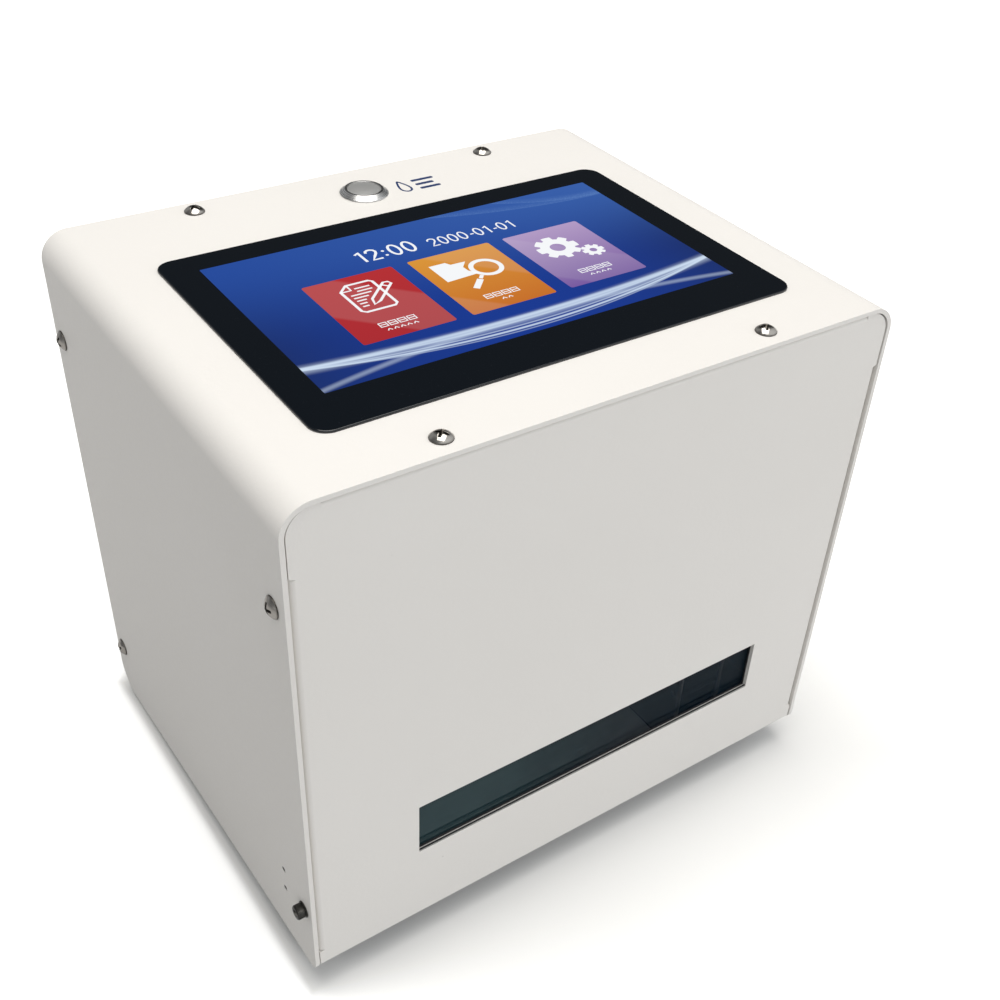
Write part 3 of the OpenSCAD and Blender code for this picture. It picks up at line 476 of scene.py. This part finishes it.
# facets of a CAD node nearer than this are joined, flatter than this made one face, and
# sharper than this given a round edge
JOIN_GAP = 0.000002
FLAT_ANGLE = math.radians(0.4)
EDGE_ANGLE = math.radians(28)


def weighted_normals(obj):
    """Keeps large faces flat beside round edges."""
    modifier = obj.modifiers.new("flat faces stay flat", "WEIGHTED_NORMAL")
    modifier.mode = "FACE_AREA"
    modifier.weight = 80
    modifier.keep_sharp = False


def soften(obj):
    """Rounds a CAD node's edges without touching its mesh."""
    weld = obj.modifiers.new("join facets", "WELD")
    weld.merge_threshold = JOIN_GAP
    merge = obj.modifiers.new("merge facets", "DECIMATE")
    merge.decimate_type = "DISSOLVE"
    merge.angle_limit = FLAT_ANGLE
    bevel = obj.modifiers.new("soft edges", "BEVEL")
    bevel.width = 0.15 * MM
    bevel.segments = 2
    bevel.limit_method = "ANGLE"
    bevel.angle_limit = EDGE_ANGLE
    weighted_normals(obj)


def edged_copy(name, width):
    """A copy of a CAD node's mesh as whole faces with round edges, marked by an attribute."""
    bm = bmesh.new()
    bm.from_mesh(nodes[name].data)
    bmesh.ops.remove_doubles(bm, verts=bm.verts, dist=JOIN_GAP)
    bmesh.ops.dissolve_limit(bm, angle_limit=FLAT_ANGLE, verts=bm.verts, edges=bm.edges)
    sharp = [e for e in bm.edges if e.is_manifold and e.calc_face_angle() > EDGE_ANGLE]
    made = bmesh.ops.bevel(
        bm, geom=sharp, offset=width, offset_type="OFFSET", segments=3, profile=0.5,
        affect="EDGES", clamp_overlap=True,
    )
    edge = bm.verts.layers.float.new("edge")
    rounded = set(made["faces"])
    for vert in bm.verts:
        vert[edge] = 1.0 if all(f in rounded for f in vert.link_faces) else 0.0
    mesh = bpy.data.meshes.new(name + "_edged")
    bm.to_mesh(mesh)
    bm.free()
    return mesh


def coated(name, node, width):
    """A powder-coated sheet piece that stands for a CAD node."""
    obj = new_piece(name, edged_copy(node, width), "root",
                    material("powder_coat"), (node,))
    weighted_normals(obj)
    return obj


coated("cover_shell", "cover", 0.45 * MM)
coated("front_panel_shell", "front_panel", 0.35 * MM)
coated("rear_panel_shell", "rear_panel", 0.35 * MM)

# ---------------------------------------------------------------- flat shapes


def finish_mesh(bm, name):
    """Turns what was drawn into a mesh with its faces outwards."""
    bmesh.ops.recalc_face_normals(bm, faces=bm.faces)
    mesh = bpy.data.meshes.new(name)
    bm.to_mesh(mesh)
    bm.free()
    return mesh


def rounded_outline(x0, y0, x1, y1, r, steps):
    """The corners of a rectangle with round corners, anticlockwise."""
    points = []
    centres = ((x1 - r, y0 + r), (x1 - r, y1 - r), (x0 + r, y1 - r), (x0 + r, y0 + r))
    for (cx, cy), start in zip(centres, (-90, 0, 90, 180)):
        for i in range(steps + 1):
            a = math.radians(start + 90 * i / steps)
            points.append((cx + r * math.cos(a), cy + r * math.sin(a)))
    return points


def inset(outline, distance):
    """The outline moved inwards, for convex shapes."""
    moved = []
    for before, here, after in zip(outline[-1:] + outline[:-1], outline, outline[1:] + outline[:1]):
        along = Vector(after) - Vector(before)
        side = Vector((-along.y, along.x)).normalized()
        moved.append(tuple(Vector(here) + side * distance))
    return moved


def stack(bm, levels):
    """A solid from outlines of equal length at rising heights."""
    loops = [[bm.verts.new((x, y, z)) for x, y in outline] for outline, z in levels]
    for low, high in zip(loops, loops[1:]):
        for i in range(len(low)):
            j = (i + 1) % len(low)
            bm.faces.new((low[i], low[j], high[j], high[i]))
    bm.faces.new(list(reversed(loops[0])))
    bm.faces.new(loops[-1])


def plate(name, levels, look, replaces=(), smooth=False):
    """A flat piece on the root, from outlines at rising heights."""
    bm = bmesh.new()
    stack(bm, levels)
    return new_piece(name, finish_mesh(bm, name), "root", material(look), replaces, smooth)


def in_metres(points):
    return [(x * MM, y * MM) for x, y in points]


def ribbon(bm, points, width, z0, z1, closed=False):
    """A flat stroke of even width through the points."""
    count = len(points)
    sides = ([], [])
    for i, point in enumerate(points):
        before = points[i - 1] if closed or i else point
        after = points[(i + 1) % count] if closed or i < count - 1 else point
        along = (Vector(after) - Vector(before)).normalized()
        across = Vector((-along.y, along.x)) * width / 2
        sides[0].append(Vector(point) + across)
        sides[1].append(Vector(point) - across)
    rails = [[bm.verts.new((p.x, p.y, z)) for p in side] for z in (z0, z1) for side in sides]
    low_a, low_b, high_a, high_b = rails
    for i in range(count if closed else count - 1):
        j = (i + 1) % count
        for a, b in ((high_a, high_b), (high_b, low_b), (low_b, low_a), (low_a, high_a)):
            bm.faces.new((a[i], a[j], b[j], b[i]))
    if not closed:
        for i in (0, count - 1):
            bm.faces.new((low_a[i], low_b[i], high_b[i], high_a[i]))


def disc_ring(bm, centre, outer, inner, z0, z1, count=48):
    """A flat ring; outer is a radius or a function of the angle."""
    reach = outer if callable(outer) else lambda a: outer
    angles = [2 * math.pi * i / count for i in range(count)]
    rims = []
    for radius in (reach, lambda a: inner):
        for z in (z0, z1):
            rims.append([bm.verts.new((centre[0] + radius(a) * math.cos(a),
                                       centre[1] + radius(a) * math.sin(a), z)) for a in angles])
    outer_low, outer_high, inner_low, inner_high = rims
    for i in range(count):
        j = (i + 1) % count
        for a, b in ((outer_low, outer_high), (outer_high, inner_high),
                     (inner_high, inner_low), (inner_low, outer_low)):
            bm.faces.new((a[i], a[j], b[j], b[i]))


# ---------------------------------------------------------------- display

LAYER = 0.02 * MM
PICTURE_Z = GLASS_HIGH.z + LAYER
TILES = {"tile_red": (-54.6, -21.9), "tile_orange": (-15.9, 16.2), "tile_purple": (22.1, 53.7)}

# the strokes of each sign, in a line of height 1
DIGITS = {
    "0": [(0.28 + 0.22 * math.sin(a * math.pi / 8), 0.5 + 0.45 * math.cos(a * math.pi / 8))
          for a in range(16)],
    "1": [(0.12, 0.78), (0.32, 0.95), (0.32, 0.05)],
    "2": [(0.06, 0.74), (0.11, 0.88), (0.22, 0.95), (0.34, 0.95), (0.46, 0.88), (0.50, 0.74),
          (0.45, 0.58), (0.30, 0.38), (0.08, 0.07), (0.52, 0.07)],
    "-": [(0.10, 0.40), (0.32, 0.40)],
}


def display():
    """The cover glass with its rounded edge, and on it the picture, its tiles and its icons."""
    low, high = GLASS_LOW, GLASS_HIGH
    rim = rounded_outline(low.x, low.y, high.x, high.y, 6 * MM, 10)
    levels = [(rim, low.z), (rim, high.z - 0.35 * MM)]
    levels += [(inset(rim, inward * MM), high.z - down * MM)
               for inward, down in ((0.10, 0.13), (0.30, 0.02), (0.55, 0.0))]
    glass = plate("touch_glass", levels, "display_glass", ("display_glass",),
                  smooth=True)
    weighted_normals(glass)
    edge = rounded_outline(SCREEN_X0, SCREEN_Y0, SCREEN_X1, SCREEN_Y1, 0.4 * MM, 3)
    plate("screen_picture", [(edge, high.z - LAYER), (edge, PICTURE_Z)], "picture")
    for name, (x0, x1) in TILES.items():
        edge = rounded_outline(x0 * MM, TILE_Y0, x1 * MM, TILE_Y1, 0.8 * MM, 4)
        plate(name, [(edge, PICTURE_Z - LAYER / 2), (edge, PICTURE_Z + LAYER)], name)
    icons()


def write(bm, text, x, y, height, width, z0, z1):
    """Digits as strokes of a width, from the left at x, y."""
    advances = {":": 0.34, "-": 0.42, "1": 0.54}
    for letter in text:
        if letter == ":":
            for level in (0.22, 0.62):
                spot = (x + 0.12 * height, y + level * height)
                disc_ring(bm, spot, 0.07 * height, 0.0005 * MM, z0, z1, 12)
        else:
            points = [(x + px * height, y + py * height) for px, py in DIGITS[letter]]
            ribbon(bm, points, width, z0, z1, closed=letter == "0")
        x += advances.get(letter, 0.66) * height


def gear(outer, root, teeth=8):
    """The rim of a gear, as a radius for each angle."""
    def reach(a):
        part = (a * teeth / (2 * math.pi)) % 1.0
        return root if 0.30 < part < 0.70 else outer
    return reach


def icons():
    """The tiles' icons, blank label marks and the clock, drawn in millimetres on the glass."""
    z0, z1 = PICTURE_Z + LAYER / 2, PICTURE_Z + 2 * LAYER
    bm = bmesh.new()

    def stroke(points, width, closed=False):
        ribbon(bm, in_metres(points), width * MM, z0, z1, closed)

    def ring(centre, outer, inner, count=48):
        disc_ring(bm, in_metres([centre])[0], outer, inner, z0, z1, count)

    # a page with a folded corner, its lines, and a pencil across it
    stroke([(-45.0, 1.6), (-41.6, 5.0), (-33.4, 5.0), (-32.4, 4.0), (-32.4, -12.2),
            (-33.6, -13.4), (-43.8, -13.4), (-45.0, -12.2)], 1.0, closed=True)
    stroke([(-45.0, 1.4), (-41.4, 1.4), (-41.4, 4.8)], 0.7)
    lines = ((-40, -34.6), (-40, -34.6), (-43.2, -36), (-43.2, -38), (-43.2, -39.8), (-43.2, -40.6),
             (-43.2, -41))
    for i, (x0, x1) in enumerate(lines):
        stroke([(x0, 1.9 - 1.95 * i), (x1, 1.9 - 1.95 * i)], 0.7)
    stroke([(-39.2, -10.2), (-38.2, -6.6), (-29.8, 1.6), (-28.2, 1.4), (-27.6, 0.0), (-36.4, -8.8)],
           0.9, closed=True)
    stroke([(-31.2, 0.4), (-29.2, -1.6)], 0.7)
    # a folder and a magnifier
    folder = [(-11.3, -8.4), (1.4, -7.6), (-1.0, -4.6), (-1.2, -1.6), (1.6, 1.6), (-4.0, 1.8),
              (-5.0, 3.8), (-11.3, 3.8)]
    stack(bm, [(in_metres(folder), z) for z in (z0, z1)])
    ring((5.7, -5.1), 6.0 * MM, 4.3 * MM)
    stroke([(1.2, -9.4), (-0.4, -11.2)], 1.3)
    stroke([(-0.8, -11.6), (-5.4, -16.4)], 2.2)
    # two gears
    ring((35.6, -4.4), gear(8.0 * MM, 6.2 * MM), 2.8 * MM, 80)
    ring((45.5, -11.7), gear(4.2 * MM, 3.2 * MM), 1.35 * MM, 80)
    # two lines of blank label under each icon: four square marks, then some small hooks
    for middle_x, hooks in ((-38.2, 5), (0.3, 2), (38.0, 4)):
        for i in range(4):
            x0 = middle_x - 6.5 + 3.35 * i
            stroke([(x0, -24.0), (x0 + 2.5, -24.0), (x0 + 2.5, -21.6), (x0, -21.6)], 0.5, closed=True)
            stroke([(x0 + 0.3, -22.8), (x0 + 2.2, -22.8)], 0.4)
        for i in range(hooks):
            x0 = middle_x - hooks * 1.15 + 2.3 * i
            stroke([(x0 + 0.2, -26.6), (x0 + 0.9, -25.6), (x0 + 1.7, -26.6)], 0.45)
    write(bm, "12:00", -29.5 * MM, 16.3 * MM, 8.2 * MM, 0.95 * MM, z0, z1)
    write(bm, "2000-01-01", -1.9 * MM, 16.1 * MM, 6.0 * MM, 0.62 * MM, z0, z1)
    new_piece("screen_icons", finish_mesh(bm, "screen_icons"), "root",
              material("picture_white"), smooth=False)


def slot_edge_shade():
    """A narrow black strip along the bottom edge of the front panel's slot: painted shade on the front
    part of the slot's bottom wall.
    """
    # painted shade: a black strip stands for the shade on the slot's bottom wall
    slot_x0, slot_x1, slot_z = -71.2 * MM, 79.0 * MM, COVER_LOW.z + 46.5 * MM
    front, back = COVER_LOW.y + 0.45 * MM, COVER_LOW.y + 1.10 * MM
    edge = rounded_outline(slot_x0, front, slot_x1, back, 0.1 * MM, 3)
    levels = [(edge, slot_z), (edge, slot_z + 0.10 * MM), (inset(edge, 0.05 * MM), slot_z + 0.14 * MM)]
    plate("slot_edge_shade_strip", levels, "foam_tape")


def print_mark():
    """A plain ink drop and three bars printed beside the button, where the machine has its label."""
    z0, z1 = COVER_HIGH.z - 0.02 * MM, COVER_HIGH.z + 0.03 * MM
    drop_x, drop_y, half_width, half_height, count = 15.6, 66.2, 2.9, 4.6, 24
    bar_x, first_bar_y, bar_pitch, bar_height = 20.6, 68.4, 3.6, 1.6
    bm = bmesh.new()
    drop = []
    for i in range(count):
        a = 2 * math.pi * i / count
        narrow = math.cos(a / 2) ** 2
        drop.append((drop_x + half_width * math.sin(a) * (1 - 0.75 * narrow),
                     drop_y + half_height * math.cos(a)))
    ribbon(bm, in_metres(drop), 0.8 * MM, z0, z1, closed=True)
    for i, length in enumerate((9.4, 7.6, 8.6)):
        y0 = first_bar_y - bar_pitch * i
        corners = in_metres([(bar_x, y0), (bar_x + length, y0 + bar_height)])
        edge = rounded_outline(*corners[0], *corners[1], 0.5 * MM, 3)
        stack(bm, [(edge, z0), (edge, z1)])
    new_piece("print_mark", finish_mesh(bm, "print_mark"), "root", material("mark_ink"),
              smooth=False)


# ---------------------------------------------------------------- screws


# Each kind of ring gives its radius at an angle, and is drawn in so many steps.
TURN_STEPS = 96


def round_ring(radius):
    return lambda a: radius


def hex_ring(flats):
    """A hexagon that measures so much across its flats."""
    def reach(a):
        return flats / 2 / math.cos((a + math.pi / 6) % (math.pi / 3) - math.pi / 6)
    return reach


def cross_ring(length, width):
    """The rim of a cross recess: four arms of the given half length and half width."""
    def reach(a):
        off = abs((a + math.pi / 4) % (math.pi / 2) - math.pi / 4)
        return min(length, width / max(math.sin(off), 1e-6))
    return reach


def knurl_ring(radius, depth, shift):
    """A rim with a groove at every third step round it, moved on by some steps."""
    def reach(a):
        step = round(a * TURN_STEPS / (2 * math.pi))
        return radius if (step + shift) % 3 else radius - depth
    return reach


def turned(bm, rings, matrix):
    """A turned solid from rings of (radius, height), whose first and last ring are its end faces.
    A height may depend on the radius. A third value says how much painted shade darkens the ring."""
    painted_shade = bm.verts.layers.float.get("painted_shade") or bm.verts.layers.float.new("painted_shade")
    loops = []
    for reach, height, *shade_depth in rings:
        loop = []
        for i in range(TURN_STEPS):
            a = 2 * math.pi * i / TURN_STEPS
            r = reach(a)
            z = height(r) if callable(height) else height
            vert = bm.verts.new(matrix @ Vector((r * math.cos(a), r * math.sin(a), z)))
            vert[painted_shade] = shade_depth[0] if shade_depth else 0.0
            loop.append(vert)
        loops.append(loop)
    for low, high in zip(loops, loops[1:]):
        for i in range(TURN_STEPS):
            j = (i + 1) % TURN_STEPS
            bm.faces.new((low[i], low[j], high[j], high[i]))
    bm.faces.new(loops[0])
    bm.faces.new(loops[-1])


def pan_screw_rings():
    """An M4 pan head screw with a domed head and a cross recess."""
    head_r, head_h, dome_r, shank_r, length = 3.6 * MM, 2.1 * MM, 4.6 * MM, 2.0 * MM, 8.0 * MM
    last_round_r = 2.5 * MM

    def dome(r):
        return head_h - dome_r + math.sqrt(dome_r * dome_r - r * r)

    def between(share):
        """From the recess's rim, at 0, to the last round ring of the dome, at 1."""
        cross = cross_ring(2.15 * MM, 0.50 * MM)
        return lambda a: cross(a) + (last_round_r - cross(a)) * share

    # each ring's third value is the painted shade that darkens it, in the recess and round the rim
    rings = [(round_ring(shank_r - 0.3 * MM), -length), (round_ring(shank_r), -length + 0.3 * MM),
             (round_ring(shank_r), 0.0, 1.0), (round_ring(head_r - 0.12 * MM), 0.0, 1.0),
             (round_ring(head_r), 0.1 * MM, 1.0), (round_ring(head_r), 0.32 * MM, 0.9)]
    dome_rings = ((3.54, 0.6), (3.4, 0.2), (3.15, 0.0), (2.85, 0.0), (last_round_r / MM, 0.0))
    rings += [(round_ring(r * MM), dome, shade_depth) for r, shade_depth in dome_rings]
    rings += [(between(share), dome, shade_depth) for share, shade_depth in ((0.66, 0.0), (0.33, 0.0), (0.08, 0.3))]
    rings.append((cross_ring(2.1 * MM, 0.44 * MM), lambda r: dome(r) - 0.06 * MM, 0.9))
    rings += [(cross_ring(long * MM, wide * MM), head_h - deep * MM, 1.0)
              for long, wide, deep in ((1.55, 0.34, 0.9), (0.9, 0.26, 1.35), (0.3, 0.2, 1.6))]
    return rings


def plain_rings(*sizes, kind=round_ring):
    """Rings of one kind from (size, height) in millimetres."""
    return [(kind(size * MM), height * MM) for size, height in sizes]


def cap_screw_rings():
    """An M3 socket head cap screw with a knurled head and a hexagonal socket."""
    shank = plain_rings((1.3, -9.0), (1.5, -8.8), (1.5, 0.0))
    # the grooves wind one way, so the facets between them catch the light one by one
    knurled = [(knurl_ring(2.6 * MM, 0.22 * MM, i), (0.4 + 0.38 * i) * MM) for i in range(6)]
    head = [*plain_rings((2.45, 0.0), (2.57, 0.12), (2.57, 0.3)), *knurled,
            *plain_rings((2.48, 2.5), (2.36, 2.72), (2.2, 2.8))]
    socket = plain_rings((2.62, 2.8), (2.5, 2.7), (2.5, 1.4), (0.4, 1.1), kind=hex_ring)
    return shank + head + socket


def washer_rings():
    """A thin washer whose bore is closed, since the screw fills it."""
    return plain_rings((1.62, 0.02), (2.9, 0.0), (3.0, 0.08), (3.0, 0.42), (2.9, 0.5), (1.62, 0.48))


def hole_shade_sleeve_rings():
    """A blind, threaded dark sleeve as deep as the sheet, that stands for the shade inside a hole:
    painted shade.
    """
    rings = plain_rings((0.86, 0.0), (1.19, 0.0), (1.19, 1.42), (1.08, 1.5))
    for i in range(4):
        height = 1.44 - 0.36 * i
        rings += plain_rings((0.98, height), (0.86, height - 0.18))
    return rings


def outward(at, axis, turn):
    """A frame at a place whose Z points along an axis, turned about it by an angle in degrees."""
    spin = Quaternion((0, 0, 1), math.radians(turn))
    tilt = Vector(axis).to_track_quat("Z", "Y") @ spin
    return Matrix.Translation(at) @ tilt.to_matrix().to_4x4()


def fasteners(name, rings, spots, node, look):
    """One piece with a turned part at each spot of (place, axis, turn), for a CAD node or none."""
    bm = bmesh.new()
    for place, axis, turn in spots:
        turned(bm, rings, outward(place, axis, turn))
    piece = new_piece(name, finish_mesh(bm, name), "root", material(look),
                      (node,) if node else ())
    modifier = piece.modifiers.new("hard corners", "EDGE_SPLIT")
    modifier.split_angle = math.radians(38)
    return piece


def on_side(side, y, z, turn=0.0, out=0.0):
    """A spot on the cover's left side, -1, or its right side, 1: so far back, high and out of it."""
    return Vector((side * (COVER_HIGH.x + out), y, COVER_LOW.z + z)), (side, 0, 0), turn


def all_screws():
    """Every screw that shows, and dark sleeves in the pair of small holes in each side, as painted
    shade of the holes' insides.
    """
    front, rear = COVER_LOW.y, COVER_HIGH.y
    first_y, last_y = front + 7.5 * MM, rear - 7.5 * MM
    top_x, upper_z, lower_z = 60 * MM, 170.5 * MM, 25 * MM
    spots = [
        (Vector((x, y, COVER_HIGH.z)), (0, 0, 1), turn)
        for x, y, turn in ((-top_x, first_y, 42), (top_x, first_y, 50),
                           (-top_x, last_y, 38), (top_x, last_y, 63))
    ]
    fasteners("pan_screws_top", pan_screw_rings(), spots, "cover_top_screws",
              "screw_steel")
    side_screws = ((first_y, upper_z, 20), (last_y, upper_z, 71), (last_y, lower_z, 48))
    spots = [on_side(side, y, z, turn + 9 * side) for side in (-1, 1) for y, z, turn in side_screws]
    fasteners("pan_screws_side", pan_screw_rings(), spots, "cover_side_screws",
              "screw_steel")
    cap_y, cap_z, washer_t = front + 5.5 * MM, 39 * MM, 0.5 * MM
    for name, rings, out, node in (
        ("knurled_cap_screws", cap_screw_rings(), washer_t, "cap_screws"),
        ("cap_screw_seats", washer_rings(), 0.0, "cap_screw_washers"),
    ):
        spots = [on_side(side, cap_y, cap_z, 14, out) for side in (-1, 1)]
        fasteners(name, rings, spots, node, "dark_steel")
    # dark sleeves in the small holes: painted shade of their insides
    hole_y, hole_levels, hole_depth = front + 19.8 * MM, (34.6 * MM, 44.6 * MM), 1.55 * MM
    spots = [on_side(side, hole_y, z, out=-hole_depth) for side in (-1, 1) for z in hole_levels]
    fasteners("hole_shade_sleeves", hole_shade_sleeve_rings(), spots, None, "dark_steel")


display()
slot_edge_shade()
print_mark()
all_screws()

# ---------------------------------------------------------------- carried-over CAD nodes

# every node that no piece replaces takes the look made for its own name, or else for its slot
for node_name, node in nodes.items():
    if not node.hide_render:
        slot_name = node.data.materials[0].name
        node.data.materials[0] = material(node_name if node_name in MAKERS else slot_name)
        soften(node)

# ---------------------------------------------------------------- stage, light and camera

FLOOR_BOUNCE = 0.55  # the grey that the floor lights the object with
FLOOR_COLOUR = (0.95, 0.945, 0.925)  # the colour that the camera sees
FLOOR_GLOW = 0.43  # how much the floor glows beside the object
SIDE_LIGHT = 0.37  # the surround's strength at the sides and the back
FRONT_LIGHT = 0.88  # its strength in front
CARD_LIGHT = 0.10  # the share left where a dark card keeps glare off the display
SHADE_LIGHT = 0.45  # the share left at the upper left


def floor():
    """A pale floor that the camera sees burn out to white away from the object: a painted glow, held
    back near the object so that a painted shadow stays there.
    """
    half = 12.0
    mesh = bpy.data.meshes.new("floor")
    corners = [(-half, -half, 0), (half, -half, 0), (half, half, 0), (-half, half, 0)]
    mesh.from_pydata(corners, [], [(0, 1, 2, 3)])
    obj = bpy.data.objects.new("floor", mesh)
    bpy.context.scene.collection.objects.link(obj)
    g = Graph("pale_floor")
    seen = g.add("ShaderNodeLightPath").outputs["Is Camera Ray"]
    g.set(base_color=g.mix(seen, (FLOOR_BOUNCE,) * 3, FLOOR_COLOUR), roughness=0.9)
    x, y, _ = g.axes()
    past_x = g.math("SUBTRACT", g.math("ABSOLUTE", x), COVER_HIGH.x)
    past_y = g.math("SUBTRACT", g.math("ABSOLUTE", y), COVER_HIGH.y)
    away = g.math("MAXIMUM", past_x, past_y)
    # the glow is held back near the object, so a painted shadow stays there: narrow at the left and
    # wider towards the right
    painted_shadow_width = g.span(x, -0.115, 0.0, 0.005, 0.16)
    near_glow = g.span(away, 0.0, painted_shadow_width, 0.0, FLOOR_GLOW, smooth=True)
    glow = g.math("ADD", near_glow, g.span(away, 0.3, 2.0, 0.0, 0.7))
    g.set(specular_ior_level=0.1, emission_color=(1.0, 1.0, 1.0))
    g.set(emission_strength=g.math("MULTIPLY", seen, glow))
    mesh.materials.append(g.material)


def area_light(name, at, towards, size, power, colour=(1.0, 1.0, 1.0), to_camera=True,
               to_gloss=True):
    """A rectangular lamp, which may be hidden from the camera or from reflections."""
    data = bpy.data.lights.new(name, "AREA")
    data.shape = "RECTANGLE"
    data.size, data.size_y = size
    data.energy = power
    data.color = colour
    obj = bpy.data.objects.new(name, data)
    bpy.context.scene.collection.objects.link(obj)
    obj.location = at
    obj.rotation_euler = (Vector(towards) - Vector(at)).to_track_quat("-Z", "Y").to_euler()
    obj.visible_camera = to_camera
    obj.visible_glossy = to_gloss


def world_light():
    """A white surround that lights more from the front, less from the upper left, and with a dark
    card where the display would mirror it to the camera."""
    g = Graph("studio", "worlds")
    bpy.context.scene.world = g.material
    background = g.tree.nodes["Background"]
    front = g.span(g.toward((0.25, -1.0, 0.2)), -0.6, 0.9, SIDE_LIGHT, FRONT_LIGHT, smooth=True)
    card = g.span(g.toward((0.48, 0.62, 0.66)), 0.76, 0.93, 1.0, CARD_LIGHT, smooth=True)
    shade = g.span(g.toward((-0.80, 0.10, 0.60)), 0.60, 0.95, 1.0, SHADE_LIGHT, smooth=True)
    light = g.math("MULTIPLY", g.math("MULTIPLY", front, card), shade)
    seen = g.add("ShaderNodeLightPath").outputs["Is Camera Ray"]
    g.feed(background.inputs["Color"], g.mix(seen, (0.96, 0.98, 1.0), (1.0, 1.0, 1.0)))
    g.feed(background.inputs["Strength"], g.mix(seen, light, (1.0, 1.0, 1.0)))


def camera():
    """The photograph's point of view, solved from the straight edges of the housing."""
    data = bpy.data.cameras.new("camera")
    data.sensor_width = 36.0
    data.lens = 45.79
    data.shift_x = -0.0437
    data.shift_y = 0.0407
    data.clip_start = 0.01
    obj = bpy.data.objects.new("camera", data)
    bpy.context.scene.collection.objects.link(obj)
    obj.location = (-0.2124, -0.3268, 0.4025)
    forward = Vector((0.4833, 0.6193, -0.6188))
    roll = Quaternion((0.0, 0.0, 1.0), math.radians(4.35))
    obj.rotation_mode = "QUATERNION"
    obj.rotation_quaternion = forward.to_track_quat("-Z", "Y") @ roll
    bpy.context.scene.camera = obj


floor()
world_light()
area_light("key", (0.02, -0.02, 1.25), (0.0, 0.0, 0.1), size=(1.0, 0.9), power=10.6,
           colour=(1.0, 0.975, 0.94))
area_light("side", (-0.85, 0.85, 0.30), (0.0, 0.0, 0.1), size=(0.6, 0.5), power=1.7,
           colour=(1.0, 0.985, 0.96), to_camera=False, to_gloss=False)
area_light("fill", (0.62, -0.80, 0.22), (0.0, 0.0, 0.02), size=(0.6, 0.3), power=1.2,
           to_camera=False)
camera()
bpy.context.scene.view_settings.view_transform = "Standard"
